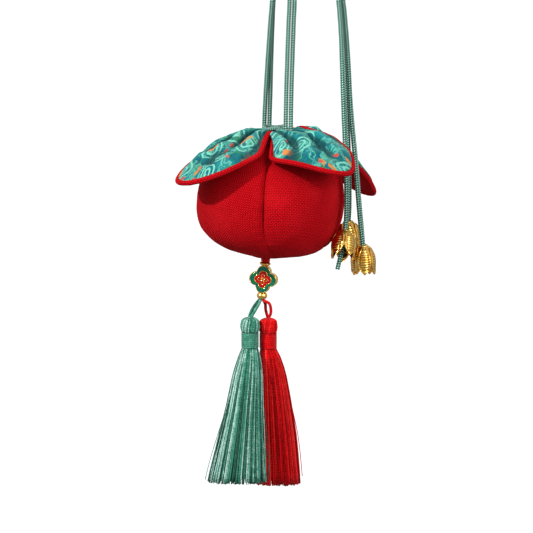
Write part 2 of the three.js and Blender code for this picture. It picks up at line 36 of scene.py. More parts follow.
# The pouch and its leaves, as the CAD has them
MOUTH = np.array([-17.6, 0.0, -108.0])
POUCH_AXIS_X = -20.9
BASE_POLE = np.array([-22.7, 0.0, -179.5])
WALL = 2.2
SEAMS = np.radians([-6, 77, 172, 262, 354])
SEAM_DEPTH = 0.085
GAP = 0.3
BACKING = 1.2
LEAF_START = 6.0
LEAF_EDGE = 1.2
PIPING_RADIUS = 1.1
WIDEST_ALONG = 26.0

POUCH_SECTIONS = np.array([  # height, radius, shift
    (-5.4, 7.8, 3.3), (-6.8, 14, 3.1), (-9.6, 22, 2.6), (-13.8, 28.8, 2.1), (-19.4, 34.8, 1.6),
    (-26.2, 39.2, 1.1), (-34, 41.2, 0.8), (-42, 41.6, 0.6), (-50, 40.5, 0.6), (-56.5, 37.8, 1.2),
    (-61.5, 33.6, 2.4), (-66, 26.8, 4.0), (-69.3, 17.5, 4.4), (-71.2, 8, 0.8), (-71.5, 1.9, -1.8),
])
GORES = ["front_right", "back_right", "back_left", "front_left"]
GORE_GRAIN = {"front_right": 0, "back_right": 38, "back_left": 8, "front_left": 52}

LEAVES = {
    "front_left": dict(azimuth=-56, reach=59, width=21, fall=22, curl=1.5, roll=1.5, sides=2.6, plump=0.95, foot_lift=4.0),
    "front_right": dict(azimuth=37, reach=58, width=19.5, fall=15, curl=1.6, roll=-3, sides=3, plump=1, lift=5.5, droop=4.5),
    "back_right": dict(azimuth=127, reach=64, width=19.5, fall=38, curl=1.9, roll=0, sides=4, plump=0.95),
    "back_left": dict(azimuth=216, reach=63, width=21, fall=30, curl=1.7, roll=0, sides=3.5, plump=0.65),
}
PADDING = np.array([(6, 2.6), (10, 4.2), (18, 5.6), (34, 5.8), (52, 5), (60, 3.4), (66, 1.2)])
RIDGE_SIDE = {"front_left": -1, "front_right": -1, "back_right": 1, "back_left": 1}
EYELETS = {"front_right": (7.3, -7.0), "back_left": (-4.6, 8.6)}

# The drawstrings
STRAND_RADIUS = 1.25
STRANDS = {
    "strand_front_left": ("cap_bead_1", [
        (-11.7, -7, -110.8), (-11.8, -7, -106), (-11.6, -6.8, -90), (-11, -6.2, -70), (-10.3, -5.4, -50),
        (-9.8, -4.9, -38.8), (-9.6, -4.4, -24), (-8.9, -4.2, -11), (-6, -4.2, -2.6), (-1, -4.2, 1.25),
        (5.5, -4.2, -0.9), (11, -4.3, -8), (14.6, -4.4, -20), (16.9, -4.8, -38.8), (18.2, -5.4, -56),
        (18.9, -6.1, -75), (19.8, -7, -100), (20.9, -8, -125), (21.4, -9.4, -145), (21.1, -11.2, -158),
        (20.5, -12.1, -164), (19.3, -15.2, -171), (17.8, -17.6, -177.5), (16.4, -18.6, -183.5),
    ]),
    "strand_front_right": ("cap_bead_3", [
        (-8.9, -7, -110.8), (-9, -7, -106), (-8.8, -6.4, -90), (-8.2, -5.6, -70), (-7.5, -4.4, -50),
        (-7, -3.6, -38.8), (-6.9, -2.4, -24), (-6.8, -1.4, -11), (-5, -1.4, -2.6), (-1, -1.4, 1.25),
        (6, -1.4, -0.8), (12, -1.4, -8), (16.2, -1.4, -20), (19.6, -1.6, -38.8), (21.3, -1.9, -56),
        (22.6, -2.4, -75), (23.9, -3.2, -100), (26.2, -4.4, -125), (28, -4.6, -148), (29.4, -4.6, -163),
        (30.6, -4.5, -173), (31, -4.5, -180), (31.1, -4.5, -186.5),
    ]),
    "strand_back_left": ("cap_bead_2", [
        (-23.6, 8.5, -110.8), (-23.5, 8.5, -106), (-22.8, 7.5, -90), (-21.6, 5.9, -70), (-20.2, 4.2, -50),
        (-19.3, 3.1, -38.8), (-18.2, 2.2, -24), (-15, 1.5, -11), (-9, 1.4, -2.2), (-1, 1.4, 1.25),
        (5.5, 1.4, -0.9), (11.2, 1.5, -8), (15.2, 1.6, -20), (18, 1.6, -38.8), (19.6, 1.5, -56),
        (20.6, 1, -75), (21.8, 0.2, -100), (22.8, -1, -125), (23.2, -0.4, -145), (23.1, 2, -155),
        (22.7, 3.4, -162), (23, 3.4, -169), (23.3, 3.4, -174),
    ]),
    "strand_back_right": ("cap_bead_4", [
        (-20.8, 8.7, -110.8), (-20.7, 8.7, -106), (-20.2, 8.5, -90), (-19.7, 8.2, -70), (-19, 7.1, -50),
        (-18.5, 6.2, -38.8), (-17.4, 5.2, -24), (-14.4, 4.5, -11), (-8.6, 4.2, -2.2), (-1, 4.2, 1.25),
        (6, 4.2, -0.8), (12, 4.3, -8), (16, 4.5, -20), (19.4, 4.8, -38.8), (21, 4.7, -56),
        (22.4, 4.2, -75), (24.2, 3.4, -100), (26.6, 2.4, -125), (28.6, 3.6, -148), (30.2, 8.2, -165),
        (30.9, 10.2, -174), (31, 10.2, -181), (31, 10.2, -187.5),
    ]),
}

# The lotus caps: turns in degrees to the left, to the front and about the cap's own axis
CAPS = {
    "cap_bead_1": dict(top=(20.4, -12, -163.6), left=5, front=32, turn=18),
    "cap_bead_2": dict(top=(22.6, 3.4, -160.2), left=-4, front=0, turn=54),
    "cap_bead_3": dict(top=(30.7, -4.5, -172.6), left=-2, front=2, turn=-15),
    "cap_bead_4": dict(top=(30.9, 10.2, -174.2), left=0, front=0, turn=20),
}
CAP_PETALS = 5
CAP_PROFILE = np.array([(0, 2.5), (-1.9, 4.4), (-5.2, 6.1), (-8.8, 6.5), (-12.6, 6.1), (-15.8, 5.6)])

# The drop
DROP_TILT = 5.5
CHARM_HEIGHT = -12.2
CHARM_TURN = -12
CHARM_LOBE = 3.8
CHARM_REACH = 4.0
CHARM_DEPTH = 5.0

# The tassels: height, half width of the teal one, of the red one, half depth
TASSEL_SECTIONS = np.array([
    (-0.4, 2.6, 2.6, 2.6), (-2.2, 4.6, 4.6, 4.6), (-5.4, 5.2, 5, 5), (-7.9, 4.7, 4.6, 4.7),
    (-8.6, 4.1, 4.1, 4.1), (-17.2, 4.1, 4.1, 4.1), (-18.4, 4.9, 4.8, 4.6), (-23, 6, 5.8, 5.2),
    (-31, 7.9, 7.6, 5.8), (-48, 9.9, 9.6, 6.2), (-66, 12.5, 11.2, 6.8), (-84, 15, 11.8, 7.4),
    (-91, 15.9, 12.2, 7.7),
])
LOOP_RADIUS = 0.75
TASSEL_LENGTH = 91.0
TASSEL_NECK = -18.4
TASSELS = {
    "tassel_teal": dict(
        column=1, slot="teal_silk", top=(-31.4, -2.2, -212.2), lean=(-7, -5.5), lag=1, seed=4, longer=0.6,
        loop=[(-25.1, -0.3, -202.4), (-25.7, -1, -203.7), (-27.2, -1.8, -206.6), (-29.6, -2.5, -210.6),
              (-31, -2.4, -212.8), (-31.6, -1.6, -212.4), (-31, -1.1, -210.2), (-29, -0.4, -206.6),
              (-26.8, 0, -203.9), (-25.4, 0.2, -202.4)],
    ),
    "tassel_red": dict(
        column=2, slot="red_silk", top=(-21.4, 2.2, -213.4), lean=(5.4, 5.5), lag=0.6, seed=9, longer=3.6,
        loop=[(-24.7, -0.4, -202.4), (-23.6, -1, -203.6), (-20.9, -0.6, -205.2), (-19.9, 0.8, -208.6),
              (-20.2, 2, -212), (-21.4, 2.6, -213.4), (-22.7, 2.3, -209.4), (-23, 1.7, -205.9),
              (-23.9, 1, -203.9), (-24.7, 0.5, -202.4)],
    ),
}

# Camera: the middle of the photograph, its width there and the height that it looks down from
VIEW_TARGET = Vector((-0.0223, 0, -0.18475))
VIEW_WIDTH = 0.29315
VIEW_DISTANCE = 2.6
VIEW_ELEVATION = 9
SENSOR = 36.0

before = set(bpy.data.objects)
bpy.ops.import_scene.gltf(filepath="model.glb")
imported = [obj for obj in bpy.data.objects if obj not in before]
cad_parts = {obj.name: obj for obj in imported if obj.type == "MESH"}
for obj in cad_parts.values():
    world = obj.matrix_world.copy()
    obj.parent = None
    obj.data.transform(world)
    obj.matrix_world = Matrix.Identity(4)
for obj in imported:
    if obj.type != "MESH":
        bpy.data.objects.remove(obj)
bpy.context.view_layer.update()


# Materials

class Shader:
    """A material built round one Principled BSDF, with short calls for its nodes."""

    def __init__(self, name, **values):
        self.material = bpy.data.materials.new(name)
        self.material.use_nodes = True
        self.tree = self.material.node_tree
        self.bsdf = self.tree.nodes["Principled BSDF"]
        for socket, value in values.items():
            self.bsdf.inputs[socket.replace("_", " ")].default_value = value

    def node(self, kind, *inputs, **settings):
        made = self.tree.nodes.new(kind)
        for key, value in settings.items():
            setattr(made, key, value)
        for index, value in enumerate(inputs):
            self.put(made.inputs[index], value)
        return made

    def put(self, socket, value):
        if isinstance(value, bpy.types.NodeSocket):
            self.tree.links.new(value, socket)
        elif value is not None:
            socket.default_value = value

    def math(self, operation, *values):
        return self.node("ShaderNodeMath", *values, operation=operation).outputs[0]

    def mix(self, share, first, second):
        made = self.node("ShaderNodeMix", data_type="RGBA")
        self.put(made.inputs["Factor"], share)
        self.put(made.inputs[6], first)
        self.put(made.inputs[7], second)
        return made.outputs[2]

    def step(self, value, low, high):
        """0 below low, 1 above high and smooth between them."""
        made = self.node("ShaderNodeMapRange", value, low, high, 0.0, 1.0, interpolation_type="SMOOTHSTEP")
        return made.outputs[0]

    def noise(self, vector, scale, detail=2.0):
        made = self.node("ShaderNodeTexNoise")
        self.put(made.inputs["Vector"], vector)
        made.inputs["Scale"].default_value = scale
        made.inputs["Detail"].default_value = detail
        return made

    def uv(self):
        return self.node("ShaderNodeUVMap", uv_map="UVMap").outputs[0]

    def split(self, vector):
        made = self.node("ShaderNodeSeparateXYZ", vector)
        return made.outputs[0], made.outputs[1]

    def position(self):
        return self.node("ShaderNodeTexCoord").outputs["Object"]

    def bump(self, height, distance, strength=1.0):
        made = self.node("ShaderNodeBump")
        made.inputs["Strength"].default_value = strength
        made.inputs["Distance"].default_value = distance
        self.put(made.inputs["Height"], height)
        self.put(self.bsdf.inputs["Normal"], made.outputs[0])

    def colour(self, value):
        self.put(self.bsdf.inputs["Base Color"], value)

    def weave(self, u, v):
        """The height of a plain weave with threads one unit apart, and where its warp is on top."""
        warp_wave = self.math("SINE", self.math("MULTIPLY", u, PI))
        weft_wave = self.math("SINE", self.math("MULTIPLY", v, PI))
        warp = self.math("ABSOLUTE", warp_wave)
        weft = self.math("ABSOLUTE", weft_wave)
        on_top = self.math("GREATER_THAN", self.math("MULTIPLY", warp_wave, weft_wave), 0.0)
        over = self.math("MULTIPLY", self.math("POWER", warp, 0.9), self.math("POWER", weft, 0.35))
        under = self.math("MULTIPLY", self.math("POWER", warp, 0.35), self.math("POWER", weft, 0.9))
        chosen = self.math("MULTIPLY", over, on_top)
        rest = self.math("MULTIPLY", under, self.math("SUBTRACT", 1.0, on_top))
        return self.math("ADD", chosen, rest), on_top


def red_cloth():
    s = Shader("red_cloth", Roughness=0.85, Sheen_Weight=0.02, Sheen_Roughness=0.5)
    s.bsdf.inputs["Sheen Tint"].default_value = (1.0, 0.2, 0.15, 1)
    s.bsdf.inputs["Specular IOR Level"].default_value = 0.03
    u, v = s.split(s.uv())
    height, on_top = s.weave(u, v)
    fibre = s.noise(s.position(), 900.0, 3.0).outputs[0]
    worn = s.noise(s.position(), 60.0).outputs[0]
    thread = s.mix(on_top, (0.48, 0.0015, 0.006, 1), (0.66, 0.006, 0.012, 1))
    # Where the weave is low, between the threads, the colour goes to a dark red: painted shade.
    dark = s.mix(s.step(height, 0.15, 0.75), (0.26, 0.001, 0.003, 1), thread)
    s.colour(s.mix(s.math("MULTIPLY", s.step(worn, 0.45, 0.75), 0.35), dark, (0.70, 0.010, 0.016, 1)))
    s.bump(s.math("ADD", height, s.math("MULTIPLY", fibre, 0.35)), 0.42 * MM)
    return s.material


def teal_print():
    """Printed cotton: spiral scrolls, vines, leaves and dots of a plain generic design."""
    s = Shader("teal_print", Roughness=0.85, Sheen_Weight=0.03)
    s.bsdf.inputs["Specular IOR Level"].default_value = 0.08
    uv = s.uv()
    wander = s.noise(uv, 0.06, 0.0).outputs[1]
    shift = s.node("ShaderNodeVectorMath", wander, (0.5, 0.5, 0.5), operation="SUBTRACT").outputs[0]
    shift = s.node("ShaderNodeVectorMath", shift, (9.0, 9.0, 0.0), operation="MULTIPLY").outputs[0]
    place = s.node("ShaderNodeVectorMath", uv, shift, operation="ADD").outputs[0]

    ripple = s.noise(uv, 0.28, 1.0).outputs[1]
    ripple = s.node("ShaderNodeVectorMath", ripple, (0.5, 0.5, 0.5), operation="SUBTRACT").outputs[0]
    ripple = s.node("ShaderNodeVectorMath", ripple, (9.0, 9.0, 0.0), operation="MULTIPLY").outputs[0]
    wavy = s.node("ShaderNodeVectorMath", place, ripple, operation="ADD").outputs[0]

    def cells(size, offset, feature="F1", spread=1.0, at=place):
        vector = s.node("ShaderNodeVectorMath", at, (1 / size[0], 1 / size[1], 0), operation="MULTIPLY").outputs[0]
        vector = s.node("ShaderNodeVectorMath", vector, offset, operation="ADD").outputs[0]
        made = s.node("ShaderNodeTexVoronoi", voronoi_dimensions="2D", feature=feature)
        s.put(made.inputs["Vector"], vector)
        made.inputs["Scale"].default_value = 1.0
        made.inputs["Randomness"].default_value = spread
        return made, vector

    def polar(made, vector):
        from_middle = s.node("ShaderNodeVectorMath", vector, made.outputs["Position"], operation="SUBTRACT").outputs[0]
        x, y = s.split(from_middle)
        angle = s.math("DIVIDE", s.math("ARCTAN2", y, x), 2 * PI)
        return made.outputs["Distance"], angle

    def chance(made, share, channel=0):
        value = s.node("ShaderNodeSeparateColor", made.outputs["Color"]).outputs[channel]
        return s.math("LESS_THAN", value, share)

    scroll, scroll_at = cells((16, 16, 1), (0.3, 0.7, 0), spread=0.8)
    reach, angle = polar(scroll, scroll_at)
    hand = s.math("SUBTRACT", s.math("MULTIPLY", chance(scroll, 0.5), 2.0), 1.0)
    phase = s.math("ADD", s.math("DIVIDE", reach, 0.17), s.math("MULTIPLY", angle, hand))
    band = s.math("PINGPONG", phase, 0.5)
    line = s.math("SUBTRACT", 1.0, s.step(band, 0.15, 0.24))
    inside = s.math("SUBTRACT", 1.0, s.step(reach, 0.40, 0.47))
    scrolls = s.math("MULTIPLY", s.math("MULTIPLY", line, inside), chance(scroll, 0.66, 1))

    vine, _ = cells((11, 15, 1), (0.9, 0.2, 0), feature="DISTANCE_TO_EDGE", at=wavy)
    vines = s.math("SUBTRACT", 1.0, s.step(s.math("ABSOLUTE", s.math("SUBTRACT", vine.outputs[0], 0.08)), 0.03, 0.055))

    blade, _ = cells((4.4, 8.5, 1), (5.2, 1.4, 0), at=wavy)
    blades = s.math("MULTIPLY", s.math("SUBTRACT", 1.0, s.step(blade.outputs["Distance"], 0.30, 0.40)), chance(blade, 0.24))
    pale, _ = cells((13, 9, 1), (2.1, 8.4, 0), at=wavy)
    pales = s.math("MULTIPLY", s.math("SUBTRACT", 1.0, s.step(pale.outputs["Distance"], 0.28, 0.36)), chance(pale, 0.45))
    dot, _ = cells((12.5, 12.5, 1), (7.7, 3.1, 0))
    dots = s.math("MULTIPLY", s.math("SUBTRACT", 1.0, s.step(dot.outputs["Distance"], 0.10, 0.13)), chance(dot, 0.55))
    arc, arc_at = cells((21, 21, 1), (1.45, 6.3, 0))
    arc_reach, arc_angle = polar(arc, arc_at)
    arc_ring = s.math("SUBTRACT", 1.0, s.step(s.math("ABSOLUTE", s.math("SUBTRACT", arc_reach, 0.20)), 0.055, 0.075))
    arcs = s.math("MULTIPLY", arc_ring, s.math("LESS_THAN", s.math("ABSOLUTE", arc_angle), 0.14))

    tone = s.noise(uv, 0.16, 2.0).outputs[0]
    colour = s.mix(s.step(tone, 0.35, 0.65), (0.001, 0.120, 0.155, 1), (0.003, 0.245, 0.265, 1))
    colour = s.mix(s.math("MULTIPLY", pales, 0.6), colour, (0.10, 0.45, 0.32, 1))
    colour = s.mix(s.math("MULTIPLY", vines, 0.85), colour, (0.13, 0.57, 0.43, 1))
    colour = s.mix(s.math("MULTIPLY", blades, 0.85), colour, (0.030, 0.215, 0.080, 1))
    colour = s.mix(scrolls, colour, (0.25, 0.74, 0.56, 1))
    colour = s.mix(arcs, colour, (0.85, 0.27, 0.045, 1))
    colour = s.mix(dots, colour, (0.72, 0.085, 0.055, 1))

    threads = s.node("ShaderNodeVectorMath", uv, (1 / 0.62, 1 / 0.62, 0), operation="MULTIPLY").outputs[0]
    u, v = s.split(threads)
    height, _ = s.weave(u, v)
    # The low parts of the weave are darkened towards a dark teal: painted shade between the threads.
    shaded = s.mix(s.step(height, 0.1, 0.7), s.mix(0.65, colour, (0.003, 0.04, 0.04, 1)), colour)
    speckle = s.noise(uv, 1.3, 3.0).outputs[0]
    shaded = s.mix(s.math("MULTIPLY", s.step(speckle, 0.5, 0.75), 0.3), shaded, (0.12, 0.50, 0.45, 1))
    # Where the pad's relief is low, in its folds and on its side walls (which carry 0), the print is darkened: painted
    # shade.
    relief = s.node("ShaderNodeAttribute", attribute_name="relief").outputs["Fac"]
    valley = s.math("SUBTRACT", 1.0, s.step(relief, 0.15, 0.55))
    shaded = s.mix(s.math("MULTIPLY", valley, 0.88), shaded, (0.003, 0.050, 0.055, 1))
    # Where the relief is high, on the tops of the puffs, the print is lightened: painted highlight.
    crown = s.math("MULTIPLY", s.step(relief, 0.6, 0.95), 0.12)
    s.colour(s.mix(crown, shaded, (0.25, 0.70, 0.58, 1)))
    s.bump(height, 0.24 * MM)
    return s.material


def braided(name, pale, middle, dark):
    """A round braid: u counts stitches round the cord and v along it."""
    s = Shader(name, Roughness=0.6, Sheen_Weight=0.05)
    u, v = s.split(s.uv())
    slant = s.math("MULTIPLY", s.math("PINGPONG", u, 1.0), 0.55)
    across_stitch = s.math("ABSOLUTE", s.math("SINE", s.math("MULTIPLY", s.math("ADD", v, slant), PI)))
    along_column = s.math("ABSOLUTE", s.math("SINE", s.math("MULTIPLY", u, PI)))
    height = s.math("MULTIPLY", across_stitch, s.math("POWER", along_column, 0.5))
    fleck = s.noise(s.position(), 1500.0, 2.0).outputs[0]
    # The gaps between the stitches are painted dark and the stitch crowns pale: painted shade and painted highlight.
    stitch = s.mix(s.step(height, 0.20, 0.58), dark, middle)
    shade = s.mix(s.step(height, 0.60, 0.92), stitch, pale)
    s.colour(s.mix(s.math("MULTIPLY", s.step(fleck, 0.5, 0.7), 0.3), shade, dark))
    s.bump(height, 0.30 * MM)
    return s.material


def silk(name, pale, middle, dark):
    """Viscose thread: tone differs from thread to thread and slowly along each; a fine noise adds painted glints
    towards the pale colour, and the twist adds faint painted shade bands.
    """
    s = Shader(name, Roughness=0.36, Sheen_Weight=0.04, Specular_Tint=pale)
    tone = s.node("ShaderNodeAttribute", attribute_name="tone").outputs["Fac"]
    drift = s.noise(s.position(), 420.0, 2.0).outputs[0]
    glint_noise = s.noise(s.position(), 1100.0, 2.0).outputs[0]
    u, v = s.split(s.uv())
    # The twist wave gives faint painted shade bands along the ply, and it is also used as bump.
    twist = s.math("SINE", s.math("ADD", s.math("MULTIPLY", v, 2 * PI / 0.9), s.math("MULTIPLY", u, PI / 4)))
    value = s.math("ADD", s.math("MULTIPLY", tone, 0.50), s.math("MULTIPLY", drift, 0.24))
    # The fine noise pushes the tone towards the pale colour in small spots: painted glints.
    value = s.math("ADD", value, s.math("ADD", s.math("MULTIPLY", twist, 0.05), s.math("MULTIPLY", glint_noise, 0.30)))
    colour = s.mix(s.step(value, 0.31, 0.58), dark, middle)
    s.colour(s.mix(s.step(value, 0.60, 0.86), colour, pale))
    s.bump(s.math("ADD", twist, glint_noise), 0.07 * MM)
    return s.material


def gilt():
    """Polished gilt casting, darkened towards brown by its shade attribute: painted shade where the relief is deep, in
    the caps' rib valleys and groove, on their inner faces and on the bell under their petals.
    """
    s = Shader("gilt", Metallic=1.0)
    painted_hollow_shade = s.node("ShaderNodeAttribute", attribute_name="painted_hollow_shade").outputs["Fac"]
    cloud = s.noise(s.position(), 420.0, 3.0).outputs[0]
    bright = s.mix(s.step(cloud, 0.35, 0.7), (0.86, 0.48, 0.08, 1), (0.98, 0.68, 0.20, 1))
    # The mix towards dark brown is painted shade in the hollows.
    s.colour(s.mix(s.math("MULTIPLY", painted_hollow_shade, 0.9), bright, (0.30, 0.10, 0.012, 1)))
    s.put(s.bsdf.inputs["Roughness"], s.math("ADD", s.math("MULTIPLY", cloud, 0.16), 0.14))
    s.bump(cloud, 0.05 * MM)
    return s.material


def enamel(name, deep, light):
    s = Shader(name, Roughness=0.22, Specular_IOR_Level=0.15)
    cloud = s.noise(s.position(), 700.0, 3.0).outputs[0]
    s.colour(s.mix(s.step(cloud, 0.3, 0.7), deep, light))
    s.bump(s.noise(s.position(), 300.0, 1.0).outputs[0], 0.06 * MM)
    return s.material


def plain_paper():
    s = Shader("pale_paper", Roughness=0.9, Specular_IOR_Level=0.0)
    s.bsdf.inputs["Emission Color"].default_value = (1, 1, 1, 1)
    s.bsdf.inputs["Emission Strength"].default_value = 0.94
    behind = s.node("ShaderNodeNewGeometry").outputs["Backfacing"]
    s.put(s.bsdf.inputs["Alpha"], s.math("SUBTRACT", 1.0, behind))
    grain = s.noise(s.position(), 30.0, 3.0).outputs[0]
    s.colour(s.mix(grain, (0.12, 0.12, 0.12, 1), (0.13, 0.13, 0.13, 1)))
    return s.material


FINISHES = {
    "red_cloth": red_cloth(),
    "teal_print": teal_print(),
    "teal_cord": braided("teal_cord", (0.46, 0.79, 0.66, 1), (0.028, 0.185, 0.130, 1), (0.002, 0.022, 0.014, 1)),
    "red_silk": silk("red_silk", (0.85, 0.035, 0.030, 1), (0.62, 0.003, 0.006, 1), (0.22, 0.0005, 0.001, 1)),
    "teal_silk": silk("teal_silk", (0.52, 0.74, 0.68, 1), (0.035, 0.235, 0.150, 1), (0.003, 0.045, 0.028, 1)),
    "gilt": gilt(),
    "green_enamel": enamel("green_enamel", (0.002, 0.095, 0.048, 1), (0.005, 0.150, 0.080, 1)),
    "red_enamel": enamel("red_enamel", (0.32, 0.002, 0.004, 1), (0.48, 0.005, 0.008, 1)),
}


# Mesh helpers

def grid_faces(rows, columns, ring=False, start=0):
    """Quads of a grid of points; a ring joins the last column to the first."""
    r, c = np.meshgrid(np.arange(rows - 1), np.arange(columns if ring else columns - 1), indexing="ij")
    following = (c + 1) % columns
    corners = [r * columns + c, r * columns + following, (r + 1) * columns + following, (r + 1) * columns + c]
    return (np.stack(corners, axis=-1).reshape(-1, 4) + start).tolist()


class Body:
    """Points, faces and what each point carries, gathered into one mesh."""

    def __init__(self):
        self.points = []
        self.faces = []
        self.uvs = []
        self.values = []
        self.count = 0

    def add(self, points, faces, uv=None, value=0.5):
        points = np.asarray(points, dtype=float).reshape(-1, 3)
        self.faces += [tuple(i + self.count for i in face) for face in faces]
        self.points.append(points)
        self.uvs.append(np.zeros((len(points), 2)) if uv is None else np.asarray(uv, dtype=float).reshape(-1, 2))
        self.values.append(np.broadcast_to(np.asarray(value, dtype=float).reshape(-1), len(points)))
        self.count += len(points)

    def grid(self, points, uv=None, value=0.5, ring=False, flip=False):
        rows, columns = points.shape[:2]
        faces = grid_faces(rows, columns, ring)
        self.add(points, [face[::-1] for face in faces] if flip else faces, uv, value)

    def tube(self, path, radius, sides, value=0.5, around=8.0, pitch=1.0, ends=True):
        """A tube along path; u counts stitches round it and v counts them along it."""
        path = np.asarray(path, dtype=float)
        radii = np.broadcast_to(np.asarray(radius, dtype=float), len(path))
        side, up = transported_frames(path)
        turn = 2 * PI * np.arange(sides + 1) / sides
        ring = np.cos(turn)[None, :, None] * side[:, None] + np.sin(turn)[None, :, None] * up[:, None]
        points = path[:, None] + radii[:, None, None] * ring
        walked = np.concatenate([[0], np.cumsum(np.linalg.norm(np.diff(path, axis=0), axis=1))])
        u = np.broadcast_to(around * np.arange(sides + 1) / sides, points.shape[:2])
        v = np.broadcast_to(walked[:, None] / pitch, points.shape[:2])
        start = self.count
        self.grid(points, np.stack([u, v], axis=-1), value)
        if ends:
            columns = sides + 1
            last = (len(path) - 1) * columns
            self.faces.append(tuple(start + i for i in reversed(range(sides))))
            self.faces.append(tuple(start + last + i for i in range(sides)))

    def build(self, name, finish, attribute=None, weld=0.0, move=None):
        points = np.concatenate(self.points)
        if move is not None:
            points = move(points)
        name = f"{name}_looks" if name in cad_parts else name
        mesh = bpy.data.meshes.new(name)
        mesh.from_pydata((points * MM).tolist(), [], self.faces)
        layer = mesh.uv_layers.new(name="UVMap")
        loops = np.zeros(len(mesh.loops), dtype=np.int32)
        mesh.loops.foreach_get("vertex_index", loops)
        layer.data.foreach_set("uv", np.concatenate(self.uvs)[loops].astype(np.float32).ravel())
        if attribute:
            carried = mesh.attributes.new(attribute, "FLOAT", "POINT")
            carried.data.foreach_set("value", np.concatenate(self.values).astype(np.float32))
        mesh.shade_smooth()
        obj = bpy.data.objects.new(name, mesh)
        bpy.context.scene.collection.objects.link(obj)
        if weld:
            welding = obj.modifiers.new("weld", "WELD")
            welding.merge_threshold = weld * MM
            apply_modifiers(obj)
        mesh = obj.data
        mesh.materials.append(FINISHES[finish])
        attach(obj, "root")
        return obj


def apply_modifiers(obj):
    graph = bpy.context.evaluated_depsgraph_get()
    made = bpy.data.meshes.new_from_object(obj.evaluated_get(graph))
    obj.modifiers.clear()
    obj.data = made


def transported_frames(path):
    """Two directions across the path at each point, carried along it without twist."""
    tangents = np.gradient(path, axis=0)
    tangents /= np.linalg.norm(tangents, axis=1)[:, None]
    side = np.cross(tangents[0], (0, 1, 0) if abs(tangents[0][1]) < 0.9 else (1, 0, 0))
    sides = []
    for tangent in tangents:
        side = side - tangent * side.dot(tangent)
        side = side / np.linalg.norm(side)
        sides.append(side)
    sides = np.array(sides)
    return sides, np.cross(tangents, sides)


def centripetal(points, count, closed=False):
    """Evenly numbered points of a centripetal Catmull-Rom curve, as the CAD's routes have them."""
    points = np.asarray(points, dtype=float)
    if closed:
        padded = np.concatenate([points[-1:], points, points[:2]])
        spans = len(points)
    else:
        padded = np.concatenate([[2 * points[0] - points[1]], points, [2 * points[-1] - points[-2]]])
        spans = len(points) - 1
    result = []
    for share in np.linspace(0, spans, count):
        span = min(int(share), spans - 1)
        weight = share - span
        p0, p1, p2, p3 = padded[span:span + 4]
        d0, d1, d2 = (max(np.linalg.norm(b - a) ** 0.5, 1e-6) for a, b in ((p0, p1), (p1, p2), (p2, p3)))
        m1 = ((p1 - p0) / d0 - (p2 - p0) / (d0 + d1) + (p2 - p1) / d1) * d1
        m2 = ((p2 - p1) / d1 - (p3 - p1) / (d1 + d2) + (p3 - p2) / d2) * d1
        t, t2, t3 = weight, weight ** 2, weight ** 3
        result.append(
            p1 * (2 * t3 - 3 * t2 + 1) + m1 * (t3 - 2 * t2 + t) + p2 * (3 * t2 - 2 * t3) + m2 * (t3 - t2)
        )
    return np.array(result)


def noise_field(points, size, seed=0.0):
    """Smooth noise from -1 to 1 with lumps of that size at each point."""
    shape = points.shape[:-1]
    flat = points.reshape(-1, 3) / size + seed
    return np.array([noise.noise(Vector(p)) for p in flat]).reshape(shape)


def slab(body, top, bottom, uv, value=0.5, top_value=0.5):
    """A closed sheet between two grids of points."""
    body.grid(top, uv, top_value)
    body.grid(bottom, uv, value, flip=True)
    for first, second, cut in (
        (bottom[0], top[0], uv[0]), (top[-1], bottom[-1], uv[-1]),
        (top[:, 0], bottom[:, 0], uv[:, 0]), (bottom[:, -1], top[:, -1], uv[:, -1]),
    ):
        body.grid(np.stack([first, second]), np.stack([cut, cut]), 0.0)


def turned(angle, axis):
    return np.array(Matrix.Rotation(math.radians(angle), 3, axis))


# The cords


def drawstring(name, cap, route):
    path = centripetal(route, 460)
    body = Body()
    body.tube(path, STRAND_RADIUS, 16, around=6, pitch=1.3)
    obj = body.build(name, "teal_cord")
    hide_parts(name)
    return obj, path


strand_paths = {}
strand_objects = {}
for strand_name, (cap_name, strand_route) in STRANDS.items():
    strand_objects[strand_name], strand_paths[strand_name] = drawstring(strand_name, cap_name, strand_route)


# The pouch, in the frame of its mouth

def pouch_rows(count):
    """Heights, radii and shifts of the pouch's outline, and the walked length down it."""
    outline = centripetal(POUCH_SECTIONS, count)
    walked = np.concatenate([[0], np.cumsum(np.hypot(np.diff(outline[:, 0]), np.diff(outline[:, 1])))])
    return outline[:, 0], outline[:, 1], outline[:, 2], walked


